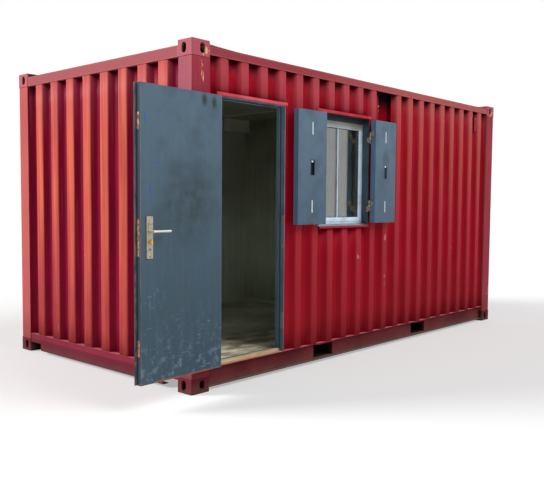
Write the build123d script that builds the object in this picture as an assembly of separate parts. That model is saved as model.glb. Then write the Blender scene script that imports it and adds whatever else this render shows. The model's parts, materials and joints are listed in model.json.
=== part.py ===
from build123d import *
import math
import os

# A steel cabin made from a short shipping container: 16 ft long, 8 ft wide, 8 ft 6 in tall.
# All sizes are in millimetres. X runs along the length, the door side faces -Y, Z is up,
# and the origin is on the ground in the middle of the four bottom corner fittings.
# "along" is measured from the left end face, "deep" from the outer face of the door side.

# Overall size
length = 4877.0
width = 2438.0
height = 2591.0

# Cast corner fittings
casting_along = 178.0
casting_across = 162.0
casting_tall = 118.0
casting_plate = 28.0
casting_side = 16.0
casting_round = 10.0
lock_slot_long = 124.5
lock_slot_wide = 63.5
lock_slot_along = 102.5
lock_slot_across = 89.5
lift_hole_tall = 79.5
lift_hole_wide = 51.0

# Corner posts, each folded from one plate
post_across = 150.0
post_lip = 42.0
post_plate = 6.0
post_inset = 3.0
post_round = 10.0

# Top and bottom rails
rail_inset = 6.0
top_rail_tall = 60.0
top_rail_deep = 60.0
top_rail_wall = 4.0
top_rail_drop = 36.0
bottom_rail_low = 29.0
bottom_rail_high = 175.0
bottom_rail_web_inset = 45.0
bottom_rail_plate = 4.5
end_sill_low = 25.0
end_sill_high = 170.0
end_sill_deep = 58.0
end_sill_inset = 4.0
end_sill_notch_wide = 170.0
end_sill_notch_top = 90.0

# Fork pockets, cross members and floor
pocket_spacing = 1645.0
pocket_clear_wide = 275.0
pocket_clear_top = 162.0
pocket_plate = 4.0
pocket_strap_thick = 6.0
pocket_strap_deep = 250.0
deck_thick = 28.0
deck_gap = 1.0
member_tall = 120.0
member_flange = 45.0
member_plate = 4.0
member_spacing = 400.0

# Corrugated steel sheets
sheet_inset = 10.0
sheet_thick = 2.0
side_rib_pitch = 221.0
side_rib_crest = 72.0
side_rib_slope = 48.0
side_rib_deep = 36.0
side_first_crest = 296.0
end_rib_pitch = 251.0
end_rib_crest = 105.0
end_rib_slope = 45.0
end_rib_deep = 45.0
roof_rib_pitch = 209.0
roof_rib_wide = 110.0
roof_rib_rise = 20.0
roof_rib_slant = 45.0
roof_rib_margin = 130.0
roof_thick = 2.0
roof_gap = 2.0

# Insulated lining of the room
lining_thick = 50.0
lining_joint = 2.0
ceiling_drop = 171.0
ceiling_thick = 50.0

# Leaves that swing on the door side: where their hinge pins and faces stand
hinge_out = 13.0
leaf_face_out = 4.0
leaf_side_gap = 9.0
leaf_gap = 6.0
frame_plate = 5.0
frame_inset = 5.0
head_drop = 385.0
drip_thick = 5.0
drip_tall = 23.0
drip_out = 20.0
drip_end = 64.0

# Door
door_clear_from = 232.0
door_clear_wide = 788.0
door_thick = 45.0
door_lock_gap = 10.0
door_lip = 18.0
door_lip_thick = 3.0
door_low = 187.0
door_stop_wide = 15.0
door_stop_deep = 12.0
door_open_deg = 178.0
threshold_plate = 5.0

# Door furniture
lever_up = 1222.0
lever_backset = 75.0
lever_radius = 9.0
lever_reach = 140.0
lever_stand = 48.0
spindle_clearance = 1.5
cylinder_down = 72.0
cylinder_radius = 8.5
cylinder_clearance = 0.5
thumb_turn_out = 22.0
thumb_turn_long = 32.0
thumb_turn_thick = 7.0
lock_plate_tall = 285.0
lock_plate_wide = 55.0
lock_plate_thick = 8.0
lock_plate_round = 10.0
lock_plate_drop = 41.0
forend_wide = 24.0
forend_thick = 3.0
forend_tall = 250.0
side_bolt_tall = 112.0
top_bolt_drop = 250.0
bottom_bolt_rise = 250.0
latch_out = 3.0
latch_tall = 34.0
latch_wide = 13.0
strike_thick = 2.0
strike_wide = 30.0
strike_extra = 10.0

# Window and its two shutters
window_clear_from = 1484.0
shutter_wide = 358.0
shutter_thick = 52.0
shutter_meeting_gap = 12.0
shutter_tall = 964.0
left_shutter_open_deg = 183.0
right_shutter_open_deg = 181.0
shutter_slot_tall = 115.0
shutter_slot_wide = 14.0
shutter_slot_deep = 8.0
shutter_slot_from_end = 95.0
shutter_grip_tall = 125.0
shutter_grip_wide = 46.0
shutter_grip_deep = 22.0
window_head_down = 45.0
window_frame_setback = 78.0
window_frame_deep = 45.0
window_frame_face = 58.0
glass_thick = 24.0
glass_groove = 14.0
glass_clearance = 1.0
sill_drop = 16.0
sill_out = 8.0
sill_lip = 14.0

# Butt hinges of the leaves
hinge_radius = 8.0
hinge_pin_radius = 4.0
hinge_pin_clearance = 0.4
hinge_half_tall = 55.0
hinge_washer_gap = 1.5
hinge_flap_thick = 3.0
hinge_flap_deep = 38.0
door_hinge_from_end = 170.0
shutter_hinge_from_end = 105.0

# Niche for the supply inlet, ventilator and fuse box
niche_from = 2440.0
niche_wide = 225.0
niche_drop = 501.0
niche_plate = 2.0
niche_back = 86.0
vent_tall = 200.0
vent_clearance = 2.0
vent_out = 34.0
vent_taper = 26.0
vent_wall = 2.0
vent_drop = 141.0
vent_slots = 5
vent_slot_tall = 6.0
vent_slot_margin = 10.0
vent_troughs_from_end = 1
box_from = 2592.0
box_wide = 350.0
box_tall = 150.0
box_deep = 80.0
box_round = 8.0

left_x = -length / 2
front_y = -width / 2
sheet_back = sheet_inset + side_rib_deep + sheet_thick
end_sheet_back = sheet_inset + end_rib_deep + sheet_thick
room_wall = sheet_back + lining_thick
end_room_wall = end_sheet_back + lining_thick
top_rail_high = height - top_rail_drop
top_rail_low = top_rail_high - top_rail_tall
web_back = bottom_rail_web_inset + bottom_rail_plate
deck_low = pocket_clear_top + pocket_plate
deck_high = deck_low + deck_thick
post_along_end = casting_along
post_across_end = post_inset + post_across
ceiling_low = height - ceiling_drop
ceiling_high = ceiling_low + ceiling_thick
head_low = height - head_drop
frame_high = head_low + frame_plate
drip_high = frame_high + drip_thick
pieces = {}


def keep(name, *solids):
    """Note the finished solids of one named piece, or group of like pieces."""
    pieces[name] = solids[0] if len(solids) == 1 else Compound(children=list(solids))


def block(along, deep, up):
    """A box between two distances along, two depths behind the door side, and two heights."""
    size = [span[1] - span[0] for span in (along, deep, up)]
    middle = [(span[0] + span[1]) / 2 for span in (along, deep, up)]
    return Pos(left_x + middle[0], front_y + middle[1], middle[2]) * Box(*size)


def other_end(shape):
    """The same piece at the right-hand end."""
    return mirror(shape, about=Plane.YZ)


def other_side(shape):
    """The same piece on the back."""
    return mirror(shape, about=Plane.XZ)


def prism_up(points, low, high):
    """A flat outline in plan, raised from one height to another."""
    outline = Polyline([(left_x + along, front_y + deep) for along, deep in points], close=True)
    return extrude(Plane.XY.offset(low) * make_face(outline), high - low)


def prism_along(points, start, end):
    """A section given as depth and height, run along the length."""
    corners = [(left_x + start, front_y + deep, up) for deep, up in points]
    return extrude(make_face(Polyline(corners, close=True)), end - start, dir=(1, 0, 0))


def prism_across(points, start, end):
    """A section given as distance along and height, run across the width."""
    corners = [(left_x + along, front_y + start, up) for along, up in points]
    return extrude(make_face(Polyline(corners, close=True)), end - start, dir=(0, 1, 0))


# Corner fittings: a hollow cast box with a lock slot outside and two lifting holes.
def corner_casting():
    body = block((0, casting_along), (0, casting_across), (0, casting_tall))
    body = fillet(body.edges().filter_by(Axis.Z), casting_round)
    hollow = block(
        (casting_side, casting_along - casting_side),
        (casting_side, casting_across - casting_side),
        (casting_plate, casting_tall - casting_plate),
    )
    slot_centre = Pos(left_x + lock_slot_along, front_y + lock_slot_across, 0)
    slot = extrude(slot_centre * SlotOverall(lock_slot_long, lock_slot_wide), casting_plate)
    middle_up = casting_tall / 2
    side_plane = Plane((left_x + lock_slot_along, front_y, middle_up), x_dir=(0, 0, 1), z_dir=(0, 1, 0))
    end_plane = Plane((left_x, front_y + lock_slot_across, middle_up), x_dir=(0, 0, 1), z_dir=(1, 0, 0))
    side_hole = extrude(side_plane * SlotOverall(lift_hole_tall, lift_hole_wide), casting_side)
    end_hole = extrude(end_plane * SlotOverall(lift_hole_tall, lift_hole_wide), casting_side)
    return body - hollow - slot - side_hole - end_hole


def four_corners(shape):
    pair = [shape, other_end(shape)]
    return pair + [other_side(one) for one in pair]


bottom_castings = four_corners(corner_casting())
mid_height = Plane.XY.offset(height / 2)
keep("bottom_corner_castings", *bottom_castings)
keep("top_corner_castings", *[mirror(one, about=mid_height) for one in bottom_castings])


# Corner posts: one plate folded to an angle with a returned lip on each edge.
def corner_post():
    near = post_inset
    far_along = post_along_end
    far_across = post_across_end
    lip = near + post_lip
    inner = near + post_plate
    outline = [
        (far_along, lip), (far_along, near), (near, near), (near, far_across), (lip, far_across),
        (lip, far_across - post_plate), (inner, far_across - post_plate), (inner, inner),
        (far_along - post_plate, inner), (far_along - post_plate, lip),
    ]
    post = prism_up(outline, casting_tall, height - casting_tall)
    corner = post.edges().filter_by(Axis.Z).sort_by_distance((left_x, front_y, height / 2))[0]
    return fillet(corner, post_round)


keep("corner_posts", *four_corners(corner_post()))


# Rails: square tube along the top, an outward channel along the bottom.
def tube(along, deep, up, wall, run):
    outer = block(along, deep, up)
    inner_spans = []
    for axis, span in enumerate((along, deep, up)):
        grow = 0 if axis == run else wall
        inner_spans.append((span[0] + grow, span[1] - grow))
    return outer - block(*inner_spans)


front_top_rail = tube(
    (casting_along, length - casting_along), (rail_inset, rail_inset + top_rail_deep),
    (top_rail_low, top_rail_high), top_rail_wall, 0,
)
keep("long_top_rails", front_top_rail, other_side(front_top_rail))

end_header_low = height - casting_tall
left_header = tube(
    (rail_inset, rail_inset + top_rail_deep), (casting_across, width - casting_across),
    (end_header_low, top_rail_high), top_rail_wall, 1,
)
keep("end_headers", left_header, other_end(left_header))

pocket_middles = [length / 2 - pocket_spacing / 2, length / 2 + pocket_spacing / 2]
pocket_half = pocket_clear_wide / 2
rail_section = [
    (rail_inset, bottom_rail_low), (web_back, bottom_rail_low), (web_back, bottom_rail_high),
    (rail_inset, bottom_rail_high), (rail_inset, bottom_rail_high - bottom_rail_plate),
    (bottom_rail_web_inset, bottom_rail_high - bottom_rail_plate),
    (bottom_rail_web_inset, bottom_rail_low + bottom_rail_plate),
    (rail_inset, bottom_rail_low + bottom_rail_plate),
]
rail_breaks = [casting_along]
for middle in pocket_middles:
    rail_breaks += [middle - pocket_half, middle + pocket_half]
rail_breaks.append(length - casting_along)
front_lengths = []
for start, end in zip(rail_breaks[0::2], rail_breaks[1::2]):
    front_lengths.append(prism_along(rail_section, start, end))
keep("long_bottom_rails", *front_lengths, *[other_side(one) for one in front_lengths])


# End sills: a channel open to the inside, notched from below beside each corner fitting.
def end_sill():
    near = end_sill_inset
    web = near + bottom_rail_plate
    top_lip = end_sill_high - bottom_rail_plate
    bottom_lip = end_sill_low + bottom_rail_plate
    section = [
        (near, end_sill_low), (end_sill_deep, end_sill_low), (end_sill_deep, bottom_lip),
        (web, bottom_lip), (web, top_lip), (end_sill_deep, top_lip),
        (end_sill_deep, end_sill_high), (near, end_sill_high),
    ]
    sill = prism_across(section, casting_across, width - casting_across)
    notch_end = casting_across + end_sill_notch_wide
    for start, end in ((casting_across, notch_end), (width - notch_end, width - casting_across)):
        sill -= block((near, end_sill_deep), (start, end), (end_sill_low, end_sill_notch_top))
    return sill


left_sill = end_sill()
keep("end_sills", left_sill, other_end(left_sill))

# Fork pockets: top plate thickened at the mouths, two side plates, and straps under the mouths.
pocket_tops = []
pocket_sides = []
pocket_straps = []
for middle in pocket_middles:
    mouth = (middle - pocket_half, middle + pocket_half)
    top = block(mouth, (rail_inset, width - rail_inset), (pocket_clear_top, deck_low))
    front_lintel = block(mouth, (rail_inset, web_back), (deck_low, bottom_rail_high))
    pocket_tops.append(top + front_lintel + other_side(front_lintel))
    for face in (mouth[0] - pocket_plate, mouth[1]):
        plate = (face, face + pocket_plate)
        pocket_sides.append(block(plate, (web_back, width - web_back), (bottom_rail_low, deck_low)))
    strap_up = (bottom_rail_low, bottom_rail_low + pocket_strap_thick)
    strap = block(mouth, (rail_inset, pocket_strap_deep), strap_up)
    pocket_straps += [strap, other_side(strap)]
keep("fork_pocket_tops", *pocket_tops)
keep("fork_pocket_sides", *pocket_sides)
keep("fork_pocket_straps", *pocket_straps)

# Floor: pressed channels from rail to rail under a thick deck.
member_low = deck_low - member_tall
members = []
member_count = int((length / 2 - end_sill_deep - member_flange) // member_spacing)
for step in range(-member_count, member_count + 1):
    middle = length / 2 + step * member_spacing
    pocket_distance = min(abs(middle - pocket) for pocket in pocket_middles)
    if pocket_distance < pocket_half + pocket_plate + member_flange:
        continue
    left = middle - member_flange / 2
    right = middle + member_flange / 2
    section = [
        (left, member_low), (right, member_low), (right, member_low + member_plate),
        (left + member_plate, member_low + member_plate), (left + member_plate, deck_low - member_plate),
        (right, deck_low - member_plate), (right, deck_low), (left, deck_low),
    ]
    members.append(prism_across(section, web_back, width - web_back))
keep("floor_cross_members", *members)
deck_along = (end_sill_deep + deck_gap, length - end_sill_deep - deck_gap)
deck_deep = (web_back + deck_gap, width - web_back - deck_gap)
keep("floor_deck", block(deck_along, deck_deep, (deck_low, deck_high)))


# Roof: a flat sheet with crosswise ribs pressed up out of it, each closed at both ends.
def roof_sheet():
    sheet = block(
        (rail_inset, length - rail_inset), (rail_inset, width - rail_inset),
        (top_rail_high, top_rail_high + roof_thick),
    )
    notch = block(
        (0, casting_along + roof_gap), (0, casting_across + roof_gap),
        (top_rail_high, top_rail_high + roof_thick),
    )
    for corner in four_corners(notch):
        sheet -= corner
    rib_long = width - 2 * (casting_across + roof_gap + roof_rib_margin / 2)
    rib_count = int((length - 2 * (casting_along + roof_rib_margin)) // roof_rib_pitch) + 1
    raised = []
    hollows = []
    for number in range(rib_count):
        middle = (number - (rib_count - 1) / 2) * roof_rib_pitch
        base = Pos(middle, 0, top_rail_high + roof_thick) * Rectangle(roof_rib_wide, rib_long)
        under = Pos(middle, 0, top_rail_high) * Rectangle(roof_rib_wide, rib_long)
        raised.append(extrude(base, roof_rib_rise, taper=roof_rib_slant))
        hollows.append(extrude(under, roof_rib_rise, taper=roof_rib_slant))
    return (sheet + raised) - hollows


keep("roof_sheet", roof_sheet())


# Corrugated walls: flat crests and troughs joined by slopes, clipped to the length they cover.
def bend_depth(along, first_crest, pitch, crest, slope, deep):
    """How far behind the crests the sheet lies at one place."""
    past = (along - first_crest) % pitch
    if past <= crest:
        return 0.0
    if past < crest + slope:
        return deep * (past - crest) / slope
    if past <= pitch - slope:
        return deep
    return deep * (pitch - past) / slope


def bend_places(start, end, first_crest, pitch, crest, slope):
    """Where the sheet bends between two places along its wall, with those two places."""
    bends = []
    first = math.floor((start - first_crest) / pitch)
    last = math.ceil((end - first_crest) / pitch)
    for number in range(first, last + 1):
        crest_from = first_crest + number * pitch
        for step in (0, crest, crest + slope, pitch - slope):
            bends.append(crest_from + step)
    return [start] + [bend for bend in bends if start + sheet_thick < bend < end - sheet_thick] + [end]


def sheet_outline(start, end, *ribs):
    """The folded sheet seen from above, between two places along its wall."""
    places = bend_places(start, end, *ribs[:-1])
    outer = [(place, sheet_inset + bend_depth(place, *ribs)) for place in places]
    inner = [(place, depth + sheet_thick) for place, depth in reversed(outer)]
    return outer + inner


side_ribs = (side_first_crest, side_rib_pitch, side_rib_crest, side_rib_slope, side_rib_deep)


def side_sheet(start, end, low, high):
    return prism_up(sheet_outline(start, end, *side_ribs), low, high)


door_frame_from = door_clear_from - frame_plate
door_clear_to = door_clear_from + door_clear_wide
door_frame_to = door_clear_to + frame_plate
window_clear_wide = 2 * shutter_wide + shutter_meeting_gap + 2 * leaf_side_gap
window_frame_from = window_clear_from - frame_plate
window_clear_to = window_clear_from + window_clear_wide
window_frame_to = window_clear_to + frame_plate
shutter_high = head_low - leaf_gap
shutter_low = shutter_high - shutter_tall
window_low = shutter_low - leaf_gap
window_frame_low = window_low - frame_plate
wall_end = length - post_along_end


def sill_underside(deep):
    """Height of the underside of the window sill, which falls towards the outside."""
    fall = sill_drop / (window_frame_setback + sill_out)
    return window_frame_low - fall * max(0.0, window_frame_setback - deep)


keep("front_wall_left", side_sheet(post_along_end, door_frame_from, bottom_rail_high, top_rail_low))
keep("front_wall_over_door", side_sheet(door_frame_from, door_frame_to, drip_high, top_rail_low))
keep("front_wall_between", side_sheet(door_frame_to, window_frame_from, bottom_rail_high, top_rail_low))
keep("front_wall_over_window", side_sheet(window_frame_from, window_frame_to, drip_high, top_rail_low))
keep("front_wall_under_window", side_sheet(
    window_frame_from, window_frame_to, bottom_rail_high, sill_underside(sheet_inset)))
niche_low = height - niche_drop
niche_to = niche_from + niche_wide
niche_hole = block((niche_from, niche_to), (0, sheet_back), (niche_low, top_rail_low))
right_sheet = side_sheet(window_frame_to, wall_end, bottom_rail_high, top_rail_low)
keep("front_wall_right", right_sheet - niche_hole)
keep("back_wall", other_side(side_sheet(post_along_end, wall_end, bottom_rail_high, top_rail_low)))


def end_wall():
    ribs_from = width / 2 + (end_rib_pitch - end_rib_crest) / 2
    ribs = (ribs_from, end_rib_pitch, end_rib_crest, end_rib_slope, end_rib_deep)
    outline = sheet_outline(post_across_end, width - post_across_end, *ribs)
    return prism_up([(deep, across) for across, deep in outline], end_sill_high, end_header_low)


left_wall = end_wall()
keep("left_end_wall", left_wall)
keep("right_end_wall", other_end(left_wall))

# Niche for the supply inlet: a folded tray behind a cut-out, its edges cut to the folds of the sheet.
tray_from = niche_from - niche_plate
tray_to = niche_to + niche_plate
tray_plan = [(tray_from, niche_back), (tray_to, niche_back)]
for place in reversed(bend_places(tray_from, tray_to, *side_ribs[:-1])):
    tray_plan.append((place, sheet_inset + bend_depth(place, *side_ribs) + sheet_thick))
tray = prism_up(tray_plan, niche_low - niche_plate, top_rail_low)
tray -= block((niche_from, niche_to), (0, niche_back - niche_plate), (niche_low, top_rail_low - niche_plate))
keep("supply_niche", tray)


# Ventilator: a small hooded cover in one trough, with slots across its face.
def ventilator():
    high = height - vent_drop
    low = high - vent_tall
    trough_wide = side_rib_pitch - side_rib_crest - 2 * side_rib_slope
    trough_deep = sheet_inset + side_rib_deep
    trough_number = (wall_end - side_first_crest) // side_rib_pitch - vent_troughs_from_end
    crest_from = side_first_crest + trough_number * side_rib_pitch
    trough_middle = crest_from + (side_rib_pitch + side_rib_crest) / 2
    start = trough_middle - trough_wide / 2 + vent_clearance
    end = trough_middle + trough_wide / 2 - vent_clearance

    def hood(shrink):
        face = trough_deep - vent_out + shrink
        return [
            (trough_deep, low + shrink), (face, low + vent_taper), (face, high - vent_taper),
            (trough_deep, high - shrink),
        ]

    cover = prism_along(hood(0), start, end)
    cover -= prism_along(hood(vent_wall), start + vent_wall, end - vent_wall)
    step = (vent_tall - 2 * vent_taper) / (vent_slots + 1)
    for number in range(vent_slots):
        middle = low + vent_taper + (number + 1) * step
        slot_along = (start + vent_slot_margin, end - vent_slot_margin)
        slot_deep = (trough_deep - vent_out, trough_deep - vent_out + vent_wall)
        cover -= block(slot_along, slot_deep, (middle - vent_slot_tall / 2, middle + vent_slot_tall / 2))
    return cover


keep("ventilator", ventilator())

# Lining: insulated panels that stand on the deck, with a joint between neighbours.
lining_deep = (sheet_back, room_wall)
lining_along = (end_sheet_back, length - end_sheet_back)
over_door = (door_frame_from + lining_joint, door_frame_to - lining_joint)
at_window = (window_frame_from + lining_joint, window_frame_to - lining_joint)
front_panels = [
    ((lining_along[0], door_frame_from), (deck_high, ceiling_high)),
    (over_door, (frame_high, ceiling_high)),
    ((door_frame_to, window_frame_from), (deck_high, ceiling_high)),
    (at_window, (frame_high, ceiling_high)),
    (at_window, (deck_high, sill_underside(sheet_back))),
    ((window_frame_to, lining_along[1]), (deck_high, ceiling_high)),
]
niche_pocket = block(
    (niche_from - niche_plate - lining_joint, niche_to + niche_plate + lining_joint),
    (sheet_back, niche_back), (niche_low - niche_plate - lining_joint, ceiling_high),
)
front_lining = [block(along, lining_deep, up) for along, up in front_panels]
front_lining[-1] -= niche_pocket
keep("front_lining", *front_lining)
keep("back_lining", other_side(block(lining_along, lining_deep, (deck_high, ceiling_high))))
room_deep = (room_wall, width - room_wall)
left_lining = block((end_sheet_back, end_room_wall), room_deep, (deck_high, ceiling_high))
keep("end_linings", left_lining, other_end(left_lining))
room_along = (end_room_wall, length - end_room_wall)
keep("ceiling_lining", block(room_along, room_deep, (ceiling_low, ceiling_high)))
fuse_box = block(
    (box_from, box_from + box_wide), (width - room_wall - box_deep, width - room_wall),
    (ceiling_low - box_tall, ceiling_low),
)
box_front = fuse_box.faces().sort_by(Axis.Y)[0]
keep("fuse_box", fillet(box_front.edges(), box_round))


# Door frame: plates that line the cut, with a stop for the leaf to close against.
leaf_back = door_thick - leaf_face_out
stop_from = leaf_back + leaf_gap
stop_deep = (stop_from, stop_from + door_stop_deep)
frame_deep = (frame_inset, room_wall)
jamb_up = (bottom_rail_high, frame_high)
stop_up = (deck_high, head_low)
left_jamb = block((door_frame_from, door_clear_from), (frame_inset, sheet_back), jamb_up)
left_jamb += block((door_frame_from, door_clear_from), (sheet_back, room_wall), (deck_high, frame_high))
right_jamb = Pos(door_clear_wide + frame_plate, 0, 0) * left_jamb
left_jamb += block((door_clear_from, door_clear_from + door_stop_wide), stop_deep, stop_up)
right_jamb += block((door_clear_to - door_stop_wide, door_clear_to), stop_deep, stop_up)
head = block((door_clear_from, door_clear_to), frame_deep, (head_low, frame_high))
head += block(
    (door_clear_from + door_stop_wide, door_clear_to - door_stop_wide), stop_deep,
    (head_low - door_stop_wide, head_low),
)
keep("door_jambs", left_jamb, right_jamb)
keep("door_frame_head", head)

# Threshold: a plate folded over the bottom rail and up on to the deck.
riser_from = web_back + deck_gap - threshold_plate
threshold_section = [
    (rail_inset, bottom_rail_high), (web_back + deck_gap, bottom_rail_high), (web_back + deck_gap, deck_high),
    (room_wall, deck_high), (room_wall, deck_high + threshold_plate),
    (riser_from, deck_high + threshold_plate), (riser_from, bottom_rail_high + threshold_plate),
    (rail_inset, bottom_rail_high + threshold_plate),
]
threshold = prism_along(threshold_section, door_clear_from, door_clear_to)
threshold -= block(
    (door_clear_from, door_clear_from + door_stop_wide), stop_deep, (deck_high, deck_high + threshold_plate))
threshold -= block(
    (door_clear_to - door_stop_wide, door_clear_to), stop_deep, (deck_high, deck_high + threshold_plate))
keep("door_threshold", threshold)


# Drip strips: an angle bar welded across each head, one leg up; the window's runs on past its left jamb.
def drip_strip(start, end, extra):
    trough = sheet_inset + side_rib_deep
    strip = block((start, end), (sheet_inset, trough), (frame_high, drip_high))
    strip += block((start - extra, end), (-drip_out, sheet_inset), (frame_high, drip_high))
    leg_deep = (-drip_out, drip_thick - drip_out)
    return strip + block((start - extra, end), leg_deep, (frame_high, frame_high + drip_tall))


door_strip = drip_strip(door_frame_from, door_frame_to, 0)
window_strip = drip_strip(window_frame_from, window_frame_to, drip_end)
keep("drip_strips", door_strip, window_strip)

# Window reveal: plates round the cut, a block under the head, and a sill that falls to the outside.
left_reveal = block((window_frame_from, window_clear_from), frame_deep, (window_frame_low, frame_high))
right_reveal = Pos(window_clear_wide + frame_plate, 0, 0) * left_reveal
keep("window_reveal_sides", left_reveal, right_reveal)
window_clear = (window_clear_from, window_clear_to)
window_frame_high = head_low - window_head_down
reveal_head = block(window_clear, frame_deep, (head_low, frame_high))
reveal_head += block(window_clear, (window_frame_setback, room_wall), (window_frame_high, head_low))
keep("window_reveal_head", reveal_head)
lip_back = frame_plate - sill_out
lip_low = window_frame_low - sill_drop - sill_lip
sill_section = [
    (room_wall, window_frame_low), (room_wall, window_low), (window_frame_setback, window_low),
    (-sill_out, window_low - sill_drop), (-sill_out, lip_low), (lip_back, lip_low),
    (lip_back, sill_underside(lip_back)), (window_frame_setback, window_frame_low),
]
keep("window_sill", prism_along(sill_section, *window_clear))

# Window: a white plastic frame set back in the reveal, with a sealed glass unit in its groove.
pane_from = window_clear_from + window_frame_face
pane_to = window_clear_to - window_frame_face
pane_low = window_low + window_frame_face
pane_high = window_frame_high - window_frame_face
window_back = window_frame_setback + window_frame_deep
window_frame = block(window_clear, (window_frame_setback, window_back), (window_low, window_frame_high))
window_frame -= block((pane_from, pane_to), (window_frame_setback, window_back), (pane_low, pane_high))
glass_from = window_frame_setback + (window_frame_deep - glass_thick) / 2
glass_deep = (glass_from, glass_from + glass_thick)
window_frame -= block(
    (pane_from - glass_groove, pane_to + glass_groove), glass_deep,
    (pane_low - glass_groove, pane_high + glass_groove),
)
glass_edge = glass_groove - glass_clearance
keep("window_frame", window_frame)
glass_along = (pane_from - glass_edge, pane_to + glass_edge)
keep("window_glass", block(glass_along, glass_deep, (pane_low - glass_edge, pane_high + glass_edge)))


# Butt hinges: the pin stands in the fixed lower half, the upper half turns on it with the leaf.
def hinge_pair(pin_along, side, low):
    """Fixed and moving half of one hinge, leaf shut; side is +1 where the leaf lies to the right."""
    axis = Pos(left_x + pin_along, front_y - hinge_out, 0)
    align = (Align.CENTER, Align.CENTER, Align.MIN)
    half_gap = leaf_side_gap / 2
    top = low + 2 * hinge_half_tall
    moving_low = low + hinge_half_tall + hinge_washer_gap
    pin_tall = 2 * hinge_half_tall - hinge_radius

    def flap(face, up):
        spans = sorted((pin_along + face, pin_along + face - math.copysign(hinge_flap_thick, face)))
        return block(spans, (-hinge_out, hinge_flap_deep - hinge_out), up)

    fixed = axis * Pos(0, 0, low) * Cylinder(hinge_radius, hinge_half_tall, align=align)
    fixed += flap(-side * half_gap, (low, low + hinge_half_tall))
    fixed -= axis * Pos(0, 0, low) * Cylinder(hinge_pin_radius, hinge_half_tall, align=align)
    fixed += axis * Pos(0, 0, low) * Cylinder(hinge_pin_radius, pin_tall, align=align)
    bore_radius = hinge_pin_radius + hinge_pin_clearance
    bore_tall = low + pin_tall + hinge_washer_gap - moving_low
    moving = axis * Pos(0, 0, moving_low) * Cylinder(hinge_radius, top - moving_low, align=align)
    moving += flap(side * half_gap, (moving_low, top))
    moving -= axis * Pos(0, 0, moving_low) * Cylinder(bore_radius, bore_tall, align=align)
    return fixed, moving


def swing(shape, pin_along, degrees):
    """Turn a shut leaf, or a piece of it, about its hinge pin to the angle it stands open."""
    pin = Axis((left_x + pin_along, front_y - hinge_out, 0), (0, 0, 1))
    return shape.rotate(pin, degrees)


# Door leaf: a steel slab with a thin lip past its lock edge, bored for the lock.
door_pin = door_clear_from + leaf_side_gap / 2
leaf_from = door_clear_from + leaf_side_gap
leaf_to = door_clear_to - door_lock_gap
door_high = head_low - leaf_gap
leaf_deep = (-leaf_face_out, leaf_back)
leaf_middle = (leaf_deep[0] + leaf_deep[1]) / 2
lever_along = leaf_to - lever_backset
spindle_bore = lever_radius + spindle_clearance


def bore(along, up, radius, deep):
    """A round bar or hole through the leaf, square to its faces."""
    middle = Pos(left_x + along, front_y + (deep[0] + deep[1]) / 2, up)
    return middle * Rot(90, 0, 0) * Cylinder(radius, deep[1] - deep[0])


plates_deep = (leaf_deep[0] - lock_plate_thick, leaf_deep[1] + lock_plate_thick)
spindle_hole = bore(lever_along, lever_up, spindle_bore, plates_deep)
cylinder_up = lever_up - cylinder_down
cylinder_hole = bore(lever_along, cylinder_up, cylinder_radius + cylinder_clearance, plates_deep)
bolt_ups = [lever_up - lock_plate_drop, door_high - top_bolt_drop, door_low + bottom_bolt_rise]
bolt_talls = [forend_tall, side_bolt_tall, side_bolt_tall]
forend_deep = (leaf_middle - forend_wide / 2, leaf_middle + forend_wide / 2)
leaf = block((leaf_from, leaf_to), leaf_deep, (door_low, door_high))
lip_deep = (leaf_deep[0], leaf_deep[0] + door_lip_thick)
leaf += block((leaf_to, leaf_to + door_lip), lip_deep, (door_low, door_high))
leaf -= spindle_hole
leaf -= cylinder_hole
forends = []
for up, tall in zip(bolt_ups, bolt_talls):
    plate = block((leaf_to - forend_thick, leaf_to), forend_deep, (up - tall / 2, up + tall / 2))
    leaf -= plate
    forends.append(plate)
latch_up = (lever_up, lever_up + latch_tall)
latch_deep = (leaf_middle - latch_wide / 2, leaf_middle + latch_wide / 2)
forends[0] += block((leaf_to, leaf_to + latch_out), latch_deep, latch_up)
keep("door_leaf", swing(leaf, door_pin, -door_open_deg))
keep("lock_forends", *[swing(one, door_pin, -door_open_deg) for one in forends])

# Lock plates on both faces of the leaf, and the lock cylinder with its thumb turn inside.
plate_up = (bolt_ups[0] - lock_plate_tall / 2, bolt_ups[0] + lock_plate_tall / 2)
plate_along = (lever_along - lock_plate_wide / 2, lever_along + lock_plate_wide / 2)
lock_plates = []
for deep in ((plates_deep[0], leaf_deep[0]), (leaf_deep[1], plates_deep[1])):
    plate = block(plate_along, deep, plate_up)
    plate = fillet(plate.edges().filter_by(Axis.Y), lock_plate_round)
    lock_plates.append(plate - spindle_hole - cylinder_hole)
keep("lock_plates", *[swing(one, door_pin, -door_open_deg) for one in lock_plates])
turn_deep = (plates_deep[0], plates_deep[1] + thumb_turn_out)
lock_cylinder = bore(lever_along, cylinder_up, cylinder_radius, turn_deep)
lock_cylinder += block(
    (lever_along - thumb_turn_thick / 2, lever_along + thumb_turn_thick / 2),
    (plates_deep[1] + thumb_turn_out / 2, plates_deep[1] + thumb_turn_out),
    (cylinder_up - thumb_turn_long / 2, cylinder_up + thumb_turn_long / 2),
)
keep("lock_cylinder", swing(lock_cylinder, door_pin, -door_open_deg))

# Lever handles: a bar through the leaf with a round grip on each side, towards the hinges.
grip_faces = (plates_deep[0] - lever_stand, plates_deep[1] + lever_stand)
levers = bore(lever_along, lever_up, lever_radius, grip_faces)
for deep in grip_faces:
    elbow = Pos(left_x + lever_along, front_y + deep, lever_up)
    levers += elbow * Sphere(lever_radius)
    grip = Pos(-lever_reach / 2, 0, 0) * Rot(0, 90, 0) * Cylinder(lever_radius, lever_reach)
    levers += elbow * grip
    levers += elbow * Pos(-lever_reach, 0, 0) * Sphere(lever_radius)
keep("door_levers", swing(levers, door_pin, -door_open_deg))

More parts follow.
